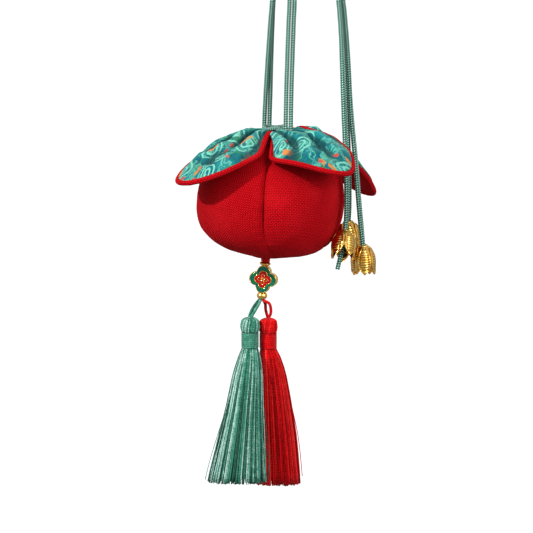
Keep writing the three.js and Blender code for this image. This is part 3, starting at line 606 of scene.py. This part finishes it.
def gore(name, index):
    rows, columns = 84, 37
    heights, radii, shifts, walked = pouch_rows(rows)
    slope_z = np.gradient(heights)
    slope_r = np.gradient(radii)
    size = np.hypot(slope_z, slope_r)
    out_r, out_z = -slope_z / size, slope_r / size
    across = (1 - np.cos(PI * np.arange(columns) / (columns - 1))) / 2
    side = 2 * across - 1
    span = SEAMS[index + 1] - SEAMS[index]
    dip = 1 - SEAM_DEPTH * (1 - np.sin(PI * across)) ** 2

    def surface(inset):
        radius = np.maximum(radii[:, None] * dip - inset * out_r[:, None], 1.2)
        azimuth = np.broadcast_to((SEAMS[index] + span * across)[None], radius.shape)
        x = POUCH_AXIS_X - MOUTH[0] + shifts[:, None] + radius * np.sin(azimuth)
        y = -radius * np.cos(azimuth)
        z = np.broadcast_to((heights - inset * out_z)[:, None], x.shape)
        return np.stack([x, y, z], axis=-1), azimuth

    outer, azimuth = surface(0.0)
    inner, _ = surface(WALL)
    normal = np.stack([
        out_r[:, None] * np.sin(azimuth), -out_r[:, None] * np.cos(azimuth),
        np.broadcast_to(out_z[:, None], azimuth.shape),
    ], axis=-1)
    from_seam = (1 - np.abs(side)) * radii[:, None] * span / 2
    depth = np.clip((walked[:, None] - 12) / 20, 0, 1) * np.clip((walked[-1] - walked[:, None]) / 25, 0, 1)
    fading = np.clip((walked[-1] - 36 - walked[:, None]) / 20, 0, 1)
    crease = -2.3 * np.exp(-(from_seam / 1.1) ** 2) * depth * fading
    pucker = 0.22 * np.sin(walked[:, None] * 2 * PI / 4.6 + 2 * index) * np.exp(-(from_seam / 5) ** 2) * depth
    lumps = 0.55 * noise_field(outer, 17, index * 3.7) + 0.2 * noise_field(outer, 6, index * 1.3)
    gathers = 0.5 * np.cos(azimuth * 26) * np.clip(1 - walked[:, None] / 26, 0, 1)
    outer = outer + normal * (crease + (pucker + lumps + gathers) * np.clip(from_seam / 3, 0, 1))[..., None]

    grain = math.radians(GORE_GRAIN[name])
    sideways = side * radii[:, None] * span / 2
    down = np.broadcast_to(walked[:, None], sideways.shape)
    uv = np.stack([
        sideways * math.cos(grain) + down * math.sin(grain),
        down * math.cos(grain) - sideways * math.sin(grain),
    ], axis=-1) / CLOTH_THREAD
    body = Body()
    slab(body, outer + MOUTH, inner + MOUTH, uv)
    obj = body.build(f"gore_{name}", "red_cloth", weld=0.02)
    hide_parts(f"gore_{name}")
    return obj


CLOTH_THREAD = 0.95

for gore_index, gore_name in enumerate(GORES):
    gore(gore_name, gore_index)


def pouch_height(x, y):
    """The height of the pouch's top under each point, or far below where it isn't."""
    heights, radii, shifts, _ = pouch_rows(500)
    clearance = 0.8
    result = np.full(x.shape, -150.0)
    for z, radius, shift in zip(heights[::-1], radii[::-1], shifts[::-1]):
        if z < -38:
            continue
        inside = np.hypot(x - (POUCH_AXIS_X - MOUTH[0] + shift), y) <= radius + clearance
        result = np.where(inside, z + clearance, result)
    return result


# The leaves: along is the distance from the mouth, across runs from -1 to 1

def leaf_half_width(leaf, along):
    foot = np.clip((along - 8) / 7, 0, 1)
    spread = 0.945 * along - 1 - 2.3 * foot
    share = np.maximum(along - WIDEST_ALONG, 0) / (leaf["reach"] - WIDEST_ALONG)
    return np.minimum(spread, leaf["width"] * np.sqrt(np.maximum(1 - share ** 2.1, 0)))


def edge_lift(leaf, along, across):
    """How far a gathered side of a leaf stands up off the pouch."""
    window = np.clip((along - LEAF_START) / 4, 0, 1) * np.clip((leaf["reach"] - along) / 16, 0, 1)
    at_foot = leaf.get("foot_lift", 0.0) * np.exp(-((along - 9) / 8) ** 2)
    return (leaf.get("lift", 0.0) + at_foot) * window * np.maximum(across, 0) ** 2


def leaf_underside(leaf, along, across, beyond=0.0):
    sideways = across * leaf_half_width(leaf, along) + np.sign(across) * beyond
    turn = math.radians(leaf["azimuth"])
    x = sideways * math.cos(turn) + along * math.sin(turn)
    y = sideways * math.sin(turn) - along * math.cos(turn)
    share = (along - LEAF_START) / (leaf["reach"] - LEAF_START)
    fall = leaf["fall"] * share ** leaf["curl"]
    sides = leaf["sides"] * across ** 2 * np.sin(PI * share) - leaf["roll"] * share * sideways / leaf["width"]
    droop = leaf.get("droop", 0.0) * np.exp(-((along - 22) / 16) ** 2) * np.minimum(across, 0) ** 2
    free = -5.0 - fall - sides - droop
    held = pouch_height(x, y)
    softness = 0.8
    blend = np.clip(0.5 + 0.5 * (free - held) / softness, 0, 1)
    z = held + (free - held) * blend + softness * blend * (1 - blend) / 2
    return np.stack([x, y, z + edge_lift(leaf, along, across)], axis=-1)


def leaf_grid(leaf, rows, columns):
    share = np.sin(PI / 2 * np.arange(rows) / (rows - 1))
    along = np.broadcast_to((LEAF_START + (leaf["reach"] - LEAF_START) * share)[:, None], (rows, columns))
    across = np.broadcast_to(np.sin(PI / 2 * np.linspace(-1, 1, columns)), (rows, columns))
    return along, across


def padding_height(leaf, along, across, fullness):
    scaled = along / leaf["reach"] * PADDING[-1][0]
    crown = leaf["plump"] * np.interp(scaled, PADDING[:, 0], PADDING[:, 1])
    return LEAF_EDGE + np.maximum(crown - LEAF_EDGE, 0) * (1 - np.abs(across) ** fullness)


def under_the_piping(leaf):
    """The leaf as its cloth is cut, a little wider, so that its edge lies in the rolled edge."""
    return dict(leaf, reach=leaf["reach"] + 0.9, width=leaf["width"] + 0.9)


def eyelet_valley(name, points):
    """1 in an eyelet and less along the valley that runs from it to the front, 0 elsewhere."""
    x, y = EYELETS[name]
    outward = -1.0 if y < 0 else 1.0
    ahead = np.clip(outward * (points[..., 1] - y) / 14, 0, 1)
    behind = np.clip(-outward * (points[..., 1] - y) / 3.2, 0, 1)
    width = 3.1 - 1.2 * ahead
    return np.exp(-((points[..., 0] - x) / width) ** 2) * (1 - 0.85 * ahead) * (1 - behind ** 2)


def leaf_pad(name, leaf, seed):
    rows, columns = 84, 78
    leaf = under_the_piping(leaf)
    along, across = leaf_grid(leaf, rows, columns)
    under = leaf_underside(leaf, along, across)
    bottom = under + (0, 0, BACKING + GAP)
    fullness = 7.0 if name == "back_right" else 2.5
    height = padding_height(leaf, along, across, fullness)
    sideways = across * leaf_half_width(leaf, along)
    edge = 1 - np.abs(across) ** fullness
    near_foot = np.clip((along - LEAF_START) / 4, 0, 1)
    fan = np.arctan2(sideways, along + 4)
    ripple = np.cos(fan * 15 + 1.1 * np.sin(along / 9 + seed) + seed)
    folds = 3.0 * ripple * near_foot * np.exp(-((along - 14) / 20) ** 2)
    folds = folds - 3.0 * np.exp(-((ripple + 1) / 0.3) ** 2) * near_foot * np.exp(-((along - 14) / 20) ** 2)
    rolls = 1.0 * np.sin(sideways / 3.4 + 2.2 * np.sin(along / 13 + seed)) * np.clip((along - 20) / 14, 0, 1)
    lumps = 2.3 * noise_field(under, 8, seed * 5.1) + 0.7 * noise_field(under, 3.5, seed * 2.3)
    behind = name.startswith("back")
    if name == "back_left":
        rise = -6.5 * np.exp(-((along - 12) / 18) ** 2)
    elif behind:
        rise = -6.0 * np.exp(-((along - 8) / 8) ** 2)
    else:
        rise = 1.2 * np.exp(-((along - 9) / 5) ** 2)
    folds = folds * (0.5 if behind else 1.0)
    if name in EYELETS:
        rise = rise * (1 - eyelet_valley(name, under))
    tip = np.clip((leaf["reach"] - along) / 12, 0, 1)
    shaping = folds + (rolls + lumps) * near_foot * tip
    height = height + edge * (shaping + rise)
    if name in EYELETS:
        valley = eyelet_valley(name, under)
        height = height - 4.4 * valley
        shaping = shaping - 2.0 * valley
    # relief goes to the print, which paints shade where it is low, in the folds, and paints highlight where it is
    # high, on the puffs.
    relief = np.clip(0.5 + 0.2 * shaping, 0, 1)
    top = bottom + np.stack([np.zeros_like(height), np.zeros_like(height), np.maximum(height, 0.9)], axis=-1)
    closes = 3.4 * np.abs(across) ** 3 * np.exp(-((along - 12) / 6) ** 2) * (across * RIDGE_SIDE[name] > 0)
    turn = math.radians(leaf["azimuth"])
    overhang = 2.6 * np.abs(across) ** 8 * near_foot * tip if name == "back_right" else 0.0
    push = np.sign(across) * (closes + overhang)
    top = top + np.stack([push * math.cos(turn), push * math.sin(turn), 0.6 * closes], axis=-1)
    over = np.maximum(top[..., 2] + 0.6, 0)
    top[..., 2] -= over - 0.9 * np.tanh(over / 0.9)
    uv = np.stack([sideways * 1.06 + 40 * seed, along * 1.04], axis=-1)
    body = Body()
    slab(body, top + MOUTH, bottom + MOUTH, uv, 0.5, relief.reshape(-1))
    obj = body.build(f"petal_{name}", "teal_print", attribute="relief", weld=0.02)
    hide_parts(f"petal_{name}")
    return obj


def leaf_backing(name, leaf):
    rows, columns = 44, 34
    leaf = under_the_piping(leaf)
    along, across = leaf_grid(leaf, rows, columns)
    bottom = leaf_underside(leaf, along, across)
    top = bottom + (0, 0, BACKING)
    sideways = across * leaf_half_width(leaf, along)
    uv = np.stack([sideways, along], axis=-1) / CLOTH_THREAD
    body = Body()
    slab(body, top + MOUTH, bottom + MOUTH, uv)
    obj = body.build(f"petal_{name}_backing", "red_cloth", weld=0.02)
    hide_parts(f"petal_{name}_backing")
    return obj


def leaf_edge(leaf):
    """The line of the rolled edge, from one side of the foot round the tip to the other."""
    steps = 80
    foot = 0.03
    beyond = PIPING_RADIUS + 0.6
    blunt = 4 / 13
    points = []
    for i in range(-steps, steps + 1):
        part = abs(i) / steps
        share = 1 - (1 - foot) * part
        along = np.array([LEAF_START + (leaf["reach"] - LEAF_START) * math.sin(PI / 2 * share)])
        side = beyond * min(part / (1 / 13), 1)
        point = leaf_underside(leaf, along, np.array([-1.0 if i < 0 else 1.0]), side)[0]
        if part < blunt:
            push = beyond * (1 - part / blunt)
            point[0] += push * math.sin(math.radians(leaf["azimuth"]))
            point[1] -= push * math.cos(math.radians(leaf["azimuth"]))
        point[2] += BACKING + GAP / 2
        points.append(point)
    return np.array(points)


def leaf_piping(name, leaf, seed):
    path = leaf_edge(leaf)
    smooth = path.copy()
    for _ in range(6):
        smooth[1:-1] = (smooth[:-2] + 2 * smooth[1:-1] + smooth[2:]) / 4
    swell = np.array([noise.noise(Vector((i * 0.21, seed, 0))) for i in range(len(path))])
    body = Body()
    body.tube(smooth + MOUTH, PIPING_RADIUS * (1.32 + 0.10 * swell), 14, around=7.3, pitch=CLOTH_THREAD)
    obj = body.build(f"petal_{name}_piping", "red_cloth")
    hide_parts(f"petal_{name}_piping")
    return obj


for leaf_number, (leaf_name, leaf_facts) in enumerate(LEAVES.items()):
    leaf_pad(leaf_name, leaf_facts, leaf_number + 1.0)
    leaf_backing(leaf_name, leaf_facts)
    leaf_piping(leaf_name, leaf_facts, leaf_number + 1.0)


def mouth_cord():
    turn = np.linspace(0, 2 * PI, 97)
    path = np.stack([6.0 * np.cos(turn), 6.0 * np.sin(turn), 0.1 + 0.4 * np.sin(3 * turn)], axis=-1)
    body = Body()
    body.tube(path + MOUTH, 1.1, 12, around=8, pitch=0.9, ends=False)
    obj = body.build("mouth_cord", "teal_cord", weld=0.02)
    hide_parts("mouth_cord")


mouth_cord()


# The lotus caps

def cap_mesh():
    """A cap about its own axis, top at 0: five bordered, ribbed petals on a bell with a rolled collar."""
    body = Body()
    rows, columns = 46, 25
    down = np.linspace(0, 1, rows)[:, None]
    across = np.linspace(-1, 1, columns)[None]
    heights = CAP_PROFILE[:, 0][::-1]
    radii = CAP_PROFILE[:, 1][::-1]
    for petal in range(CAP_PETALS):
        upper = np.sqrt(np.maximum(1 - (np.maximum(0.42 - down, 0) / 0.48) ** 2, 0))
        lower = np.sqrt(np.maximum(1 - (np.maximum(down - 0.42, 0) / 0.58) ** 2.5, 0))
        spread = np.radians(178 / CAP_PETALS) * upper * lower
        arch = 1.0 - 0.10 * across ** 2 * down
        z = -0.9 - 14.9 * down * arch
        angle = spread * across
        outline = np.interp(z, heights, radii)
        border = np.maximum(np.abs(across), np.clip((down - 0.72) / 0.22, 0, 1))
        rim = np.clip((border - 0.66) / 0.10, 0, 1)
        ribs = 0.5 + 0.5 * np.cos(2 * PI * down * 10.5)
        groove = np.exp(-((border - 0.64) / 0.05) ** 2)
        relief = 0.6 * rim + 0.34 * ribs * (1 - rim) - 0.15 * groove
        radius = outline + 0.35 * (1 - across ** 2) + relief - 0.15
        turn = angle + petal * 2 * PI / CAP_PETALS
        outer = np.stack([radius * np.cos(turn), radius * np.sin(turn), z + 0 * turn], axis=-1)
        inside = outline - 0.75 + 0.25 * rim
        inner = np.stack([inside * np.cos(turn), inside * np.sin(turn), z + 0 * turn], axis=-1)
        # Painted shade for the rib valleys and for the groove inside the border.
        painted_hollow_shade = np.clip((1 - rim) * (1 - ribs) * 0.8 + groove, 0, 1)
        uv = np.zeros((rows, columns, 2))
        # The outer face carries that painted shade; the inner face is darkened by 0.35 except at the rim: painted
        # shade inside the cap.
        slab(body, outer, inner, uv, 0.35 * (1 - rim.reshape(-1)), painted_hollow_shade.reshape(-1))
    bell = np.array([(-0.2, 1.7), (-0.1, 2.5), (-1.6, 3.9), (-4.8, 5.4), (-10.2, 5.6), (-10.2, 5.2), (-4.6, 4.7), (-1.6, 3.0), (-0.9, 1.6)])
    shape = centripetal(np.column_stack([bell[:, 1], bell[:, 0], np.zeros(len(bell))]), 50)
    turn = 2 * PI * np.arange(49) / 48
    points = np.stack([
        shape[:, :1] * np.cos(turn), shape[:, :1] * np.sin(turn), np.broadcast_to(shape[:, 1:2], (50, 49)),
    ], axis=-1)
    # The bell under the petals is darkened by 0.45: painted shade.
    body.grid(points, value=0.45)
    ring = np.stack([2.3 * np.cos(turn), 2.3 * np.sin(turn), np.full(49, -0.15)], axis=-1)
    body.tube(ring, 0.5, 10, value=0.0, ends=False)
    return body


for cap_name, cap in CAPS.items():
    rotation = turned(cap["left"], "Y") @ turned(-cap["front"], "X") @ turned(cap["turn"], "Z")
    cap_object = cap_mesh().build(
        cap_name, "gilt", attribute="painted_hollow_shade",
        move=lambda points, r=rotation, top=cap["top"]: points @ r.T + np.array(top),
    )
    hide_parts(cap_name)


# The drop under the pouch

def in_drop(points):
    return points @ turned(DROP_TILT, "Y").T + BASE_POLE


def in_charm(points):
    return in_drop(points @ turned(CHARM_TURN, "Z").T + (0, 0, CHARM_HEIGHT))


def lathed(body, profile, sides=40, value=0.0, lobes=0, lobe_depth=0.0):
    """A ring of revolution about the upright axis from a closed outline of radius and height."""
    profile = np.asarray(profile, dtype=float)
    shape = centripetal(np.column_stack([profile, np.zeros(len(profile))]), 8 * len(profile), closed=True)
    turn = 2 * PI * np.arange(sides + 1) / sides
    radius = shape[:, :1] * (1 + lobe_depth * np.cos(lobes * turn)[None])
    points = np.stack([
        radius * np.cos(turn), radius * np.sin(turn), np.broadcast_to(shape[:, 1:2], radius.shape),
    ], axis=-1)
    body.grid(points, value=value)


def spacer(name, low, high, radius):
    middle = (low + high) / 2
    rim = (high - low) * 0.2
    body = Body()
    lathed(body, [
        (0.95, high), (radius * 0.86, high), (radius * 0.93, high - rim), (radius, middle + rim / 2),
        (radius, middle - rim / 2), (radius * 0.93, low + rim), (radius * 0.86, low), (0.95, low),
    ])
    obj = body.build(name, "gilt", attribute="painted_hollow_shade", weld=0.01, move=in_drop)
    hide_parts(name)


spacer("upper_spacer", -4.3, -2.8, 3.1)
spacer("lower_spacer", -22.9, -20.1, 2.9)


def base_knot():
    body = Body()
    turn = np.linspace(0, 4 * PI, 90)
    coil = np.stack([1.85 * np.cos(turn), 1.85 * np.sin(turn), -2.0 + 1.0 * turn / (4 * PI)], axis=-1)
    body.tube(coil, 0.72, 10, value=0.5)
    body.tube([(0, 0, -2.6), (0, 0, -1.4), (0, 0, -0.2)], 1.35, 14, value=0.4)
    obj = body.build("base_knot", "red_silk", attribute="tone", move=in_drop)
    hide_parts("base_knot")


base_knot()


def quatrefoil(scale, count=144):
    """Points round the four lobed outline in the plane of the charm's face."""
    angle = 2 * PI * np.arange(count + 1) / count
    folded = np.abs((angle + PI / 4) % (PI / 2) - PI / 4)
    reach = CHARM_REACH * np.cos(folded) + np.sqrt(CHARM_LOBE ** 2 - (CHARM_REACH * np.sin(folded)) ** 2)
    return scale * np.stack([reach * np.cos(angle), np.zeros(count + 1), reach * np.sin(angle)], axis=-1)


def ring_stack(body, steps, value=0.0):
    """A skin over the quatrefoil at each (scale, depth) step, from front (-Y) to back."""
    points = np.stack([quatrefoil(scale) + (0, depth, 0) for scale, depth in steps])
    body.grid(points, value=value, flip=True)


def charm():
    half = CHARM_DEPTH / 2
    body = Body()
    rim_front = [(0.02, -half + 0.9), (0.575, -half + 0.9), (0.585, -half + 0.02), (0.62, -half + 0.02),
                 (0.63, -half + 0.9), (0.925, -half + 0.9), (0.93, -half + 0.05), (0.945, -half),
                 (0.97, -half), (0.99, -half + 0.2), (1.0, -half + 0.6)]
    steps = rim_front + [(scale, -depth) for scale, depth in reversed(rim_front)]
    ring_stack(body, steps)
    obj = body.build("charm_body", "gilt", attribute="painted_hollow_shade", move=in_charm)
    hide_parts("charm_body")
    for side_name, facing in (("front", -1), ("back", 1)):
        floor = -half + 0.85
        glaze = -half + 0.12

        def plate(name, finish, steps):
            plate_body = Body()
            ring_stack(plate_body, [(scale, -facing * depth) for scale, depth in steps])
            made = plate_body.build(name, finish, move=in_charm)
            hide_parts(name)

        plate(f"charm_border_{side_name}", "green_enamel", [
            (0.625, floor), (0.625, glaze + 0.05), (0.65, glaze), (0.78, glaze - 0.05), (0.90, glaze),
            (0.928, glaze + 0.05), (0.928, floor),
        ])
        plate(f"charm_face_{side_name}", "red_enamel", [
            (0.01, glaze - 0.16), (0.3, glaze - 0.12), (0.5, glaze - 0.04), (0.575, glaze + 0.03), (0.58, floor),
        ])
        ornament = Body()
        lift = facing * (half - 0.02 + 0.1)
        for petal in range(4):
            turn = np.linspace(0, 2 * PI, 33)
            long_way = 1.75 + 1.15 * np.cos(turn)
            short_way = 0.78 * np.sin(turn)
            lean = petal * PI / 2
            ornament.tube(np.stack([
                long_way * np.cos(lean) - short_way * np.sin(lean), np.full(33, lift),
                long_way * np.sin(lean) + short_way * np.cos(lean),
            ], axis=-1), 0.16, 8, value=0.0, ends=False)
        ring = np.linspace(0, 2 * PI, 25)
        ornament.tube(np.stack([0.42 * np.cos(ring), np.full(25, lift), 0.42 * np.sin(ring)], axis=-1),
                      0.2, 8, value=0.0, ends=False)
        ornament.build(f"charm_flower_{side_name}", "gilt", attribute="painted_hollow_shade", move=in_charm)


charm()


# The tassels

def tassel_frame(tassel, z):
    sag = np.maximum((TASSEL_NECK - z) / (TASSEL_LENGTH + TASSEL_NECK), 0)
    return np.stack([tassel["lean"][0] * sag ** tassel["lag"], tassel["lean"][1] * sag ** 0.7, z], axis=-1)


def tassel_size(tassel, z):
    heights = TASSEL_SECTIONS[:, 0][::-1]
    wide = np.interp(z, heights, TASSEL_SECTIONS[:, tassel["column"]][::-1])
    deep = np.interp(z, heights, TASSEL_SECTIONS[:, 3][::-1])
    return wide, deep


def tassel_shade_core(body, tassel):
    z = np.concatenate([np.linspace(-0.6, -17.6, 24), np.linspace(-18.4, -TASSEL_LENGTH + 3, 40)])
    wide, deep = tassel_size(tassel, z)
    turn = 2 * PI * np.arange(49) / 48
    inset = np.where(z > TASSEL_NECK, 0.93, 0.80)
    ridges = 1 + 0.03 * np.cos(16 * turn)
    points = tassel_frame(tassel, z)[:, None] + np.stack([
        (wide * inset)[:, None] * ridges * np.cos(turn), (deep * inset)[:, None] * ridges * np.sin(turn),
        np.zeros((len(z), 49)),
    ], axis=-1)
    # The core carries the dark tone 0.12, so it shows as painted shade between the threads of the skirt.
    body.grid(points, value=0.12, flip=True)
    start = body.count - points.shape[0] * points.shape[1]
    body.faces.append(tuple(start + i for i in range(48)))
    last = start + (len(z) - 1) * 49
    body.faces.append(tuple(last + i for i in reversed(range(48))))


def head_threads(body, tassel, chance):
    count = 64
    z = -0.3 - 8.5 * np.linspace(0, 1, 12) ** 1.4
    wide, deep = tassel_size(tassel, z)
    rise = np.clip(-z / 1.2, 0.15, 1)
    for i in range(count):
        turn = 2 * PI * i / count + chance.uniform(-0.03, 0.03) + 0.25 * np.linspace(1, 0, 12)
        path = np.stack([wide * rise * np.cos(turn), deep * rise * np.sin(turn), z], axis=-1)
        body.tube(path, 0.33, 5, value=chance.uniform(0.35, 1.0))


def skirt_threads(body, tassel, count, chance):
    steps = 15
    locks = 92
    share = np.linspace(0, 1, steps)
    lock_tone = [chance.uniform(0.05, 1.0) for _ in range(locks)]
    lock_turn = [2 * PI * (i + chance.uniform(-0.3, 0.3)) / locks for i in range(locks)]
    for i in range(count):
        lock = i * locks // count
        spread = chance.gauss(0, 1)
        end_turn = lock_turn[lock] + spread * 2 * PI / locks * 0.42
        start_turn = 2 * PI * i / count + chance.uniform(-0.1, 0.1)
        start_turn += 2 * PI * round((end_turn - start_turn) / (2 * PI))
        reach = chance.uniform(0.80, 1.0) if i % 3 else chance.uniform(0.94, 1.02)
        length = TASSEL_LENGTH + tassel["longer"] + chance.uniform(-1.6, 0.4)
        z = -17.3 - (length - 17.3) * share
        wide, deep = tassel_size(tassel, z)
        gathered = np.clip(share / 0.35, 0, 1)
        turn = start_turn + (end_turn - start_turn) * gathered
        bunch = 1 - 0.05 * spread ** 2 * np.sin(PI * np.clip(share, 0, 1)) * 0.6
        wave = 0.25 * np.sin(share * chance.uniform(4, 9) + chance.uniform(0, 6)) * share
        x = (wide * reach * bunch + wave) * np.cos(turn)
        y = (deep * reach * bunch + wave) * np.sin(turn)
        path = tassel_frame(tassel, z) + np.stack([x, y, np.zeros(steps)], axis=-1)
        tone = np.clip(lock_tone[lock] + chance.uniform(-0.25, 0.25), 0, 1)
        body.tube(path, chance.uniform(0.20, 0.30), 4, value=tone)


def stray_threads(body, tassel, chance):
    for i in range(7):
        start = chance.uniform(0.35, 0.75)
        share = np.linspace(start, 1, 14)
        z = -17.3 - (TASSEL_LENGTH - 17.8) * share
        wide, deep = tassel_size(tassel, z)
        turn = chance.choice([0.0, PI]) + chance.uniform(-0.7, 0.7)
        away = (share - start) / (1 - start)
        lift = 1 + 0.13 * np.sin(PI * away * chance.uniform(0.6, 0.9))
        path = tassel_frame(tassel, z) + np.stack([
            wide * lift * np.cos(turn), deep * lift * np.sin(turn), np.zeros(14),
        ], axis=-1)
        body.tube(path, 0.22, 4, value=chance.uniform(0.1, 0.9))


def tassel(name, facts):
    chance = random.Random(facts["seed"])
    top = np.array(facts["top"])
    body = Body()
    tassel_shade_core(body, facts)
    head_threads(body, facts, chance)
    skirt_threads(body, facts, 680, chance)
    stray_threads(body, facts, chance)
    obj = body.build(name, facts["slot"], attribute="tone", move=lambda points: points + top)
    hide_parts(name)

    turns = 25
    turn = np.linspace(0, 2 * PI * turns, 26 * turns)
    wrap = Body()
    path = np.stack([4.6 * np.cos(turn), 4.6 * np.sin(turn), -8.9 - 8.1 * turn / turn[-1]], axis=-1)
    wrap.tube(path, 0.24, 5, value=0.55 + 0.2 * np.repeat(np.sin(turn * 0.31), 6))
    made = wrap.build(f"{name}_wrap", facts["slot"], attribute="tone", move=lambda points: points + top)
    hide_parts(f"{name}_wrap")

    loop = Body()
    route = centripetal(facts["loop"], 70)
    legs = np.repeat(np.linspace(0.85, 0.15, 70), 15)
    loop.tube(route, LOOP_RADIUS * 1.12, 14, value=legs, around=8, pitch=0.8)
    made = loop.build(f"{name}_loop", facts["slot"], attribute="tone")
    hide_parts(f"{name}_loop")


for tassel_name, tassel_facts in TASSELS.items():
    tassel(tassel_name, tassel_facts)


# The carried over thread of the drop

drop_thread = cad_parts["drop_cord"]
for slot_index in range(len(drop_thread.material_slots)):
    drop_thread.material_slots[slot_index].material = FINISHES["red_silk"]


# The stage, the lights and the camera

def sheet_of_paper():
    depths = [(-1.6, -0.42), (0.4, -0.42)]
    bend = [(0.4 + 0.25 * math.sin(a), -0.42 + 0.25 * (1 - math.cos(a))) for a in np.linspace(0, PI / 2, 12)[1:]]
    line = depths + bend + [(0.65, 1.4)]
    points = [(x, y, z) for y, z in line for x in (-2.2, 2.2)]
    mesh = bpy.data.meshes.new("paper")
    mesh.from_pydata(points, [], grid_faces(len(line), 2))
    mesh.materials.append(plain_paper())
    mesh.shade_smooth()
    paper = bpy.data.objects.new("paper", mesh)
    bpy.context.scene.collection.objects.link(paper)
    paper.visible_diffuse = False
    paper.visible_glossy = False


def lamp(name, kind, place, aim, energy, size, colour=(1, 1, 1)):
    data = bpy.data.lights.new(name, kind)
    data.energy = energy
    data.color = colour
    if kind == "SUN":
        data.angle = math.radians(size)
    else:
        data.size = size
    obj = bpy.data.objects.new(name, data)
    obj.location = place
    obj.rotation_euler = (Vector(aim) - Vector(place)).to_track_quat("-Z", "Y").to_euler()
    bpy.context.scene.collection.objects.link(obj)


def light_of_room(tree):
    """A pale room: bright above, dimmer towards the floor, with two darker stretches of wall."""
    background = tree.nodes["Background"]
    place = tree.nodes.new("ShaderNodeTexCoord").outputs["Generated"]
    height = tree.nodes.new("ShaderNodeSeparateXYZ")
    tree.links.new(place, height.inputs[0])
    waves = tree.nodes.new("ShaderNodeTexNoise")
    waves.inputs["Scale"].default_value = 1.6
    tree.links.new(place, waves.inputs["Vector"])
    mixed = tree.nodes.new("ShaderNodeMath")
    mixed.operation = "MULTIPLY_ADD"
    tree.links.new(waves.outputs[0], mixed.inputs[0])
    mixed.inputs[1].default_value = 1.5
    tree.links.new(height.outputs[2], mixed.inputs[2])
    ramp = tree.nodes.new("ShaderNodeMapRange")
    tree.links.new(mixed.outputs[0], ramp.inputs[0])
    for index, value in enumerate((0.1, 1.5, 0.31, 0.85)):
        ramp.inputs[index + 1].default_value = value
    tree.links.new(ramp.outputs[0], background.inputs[1])
    background.inputs[0].default_value = (1, 1, 1, 1)


def camera():
    data = bpy.data.cameras.new("camera")
    data.sensor_width = SENSOR
    data.lens = SENSOR * VIEW_DISTANCE / VIEW_WIDTH
    obj = bpy.data.objects.new("camera", data)
    tilt = math.radians(VIEW_ELEVATION)
    obj.location = VIEW_TARGET + VIEW_DISTANCE * Vector((0, -math.cos(tilt), math.sin(tilt)))
    obj.rotation_euler = (math.radians(90 - VIEW_ELEVATION), 0, 0)
    bpy.context.scene.collection.objects.link(obj)
    bpy.context.scene.camera = obj


sheet_of_paper()
middle = tuple(VIEW_TARGET)
lamp("key", "SUN", (-0.75, -0.55, 0.45), middle, 3.1, 2.5)
lamp("fill", "AREA", (0.65, -0.9, 0.2), middle, 7.0, 0.5)
world = bpy.data.worlds.new("studio")
world.use_nodes = True
light_of_room(world.node_tree)
bpy.context.scene.world = world
bpy.context.scene.view_settings.view_transform = "Standard"
camera()
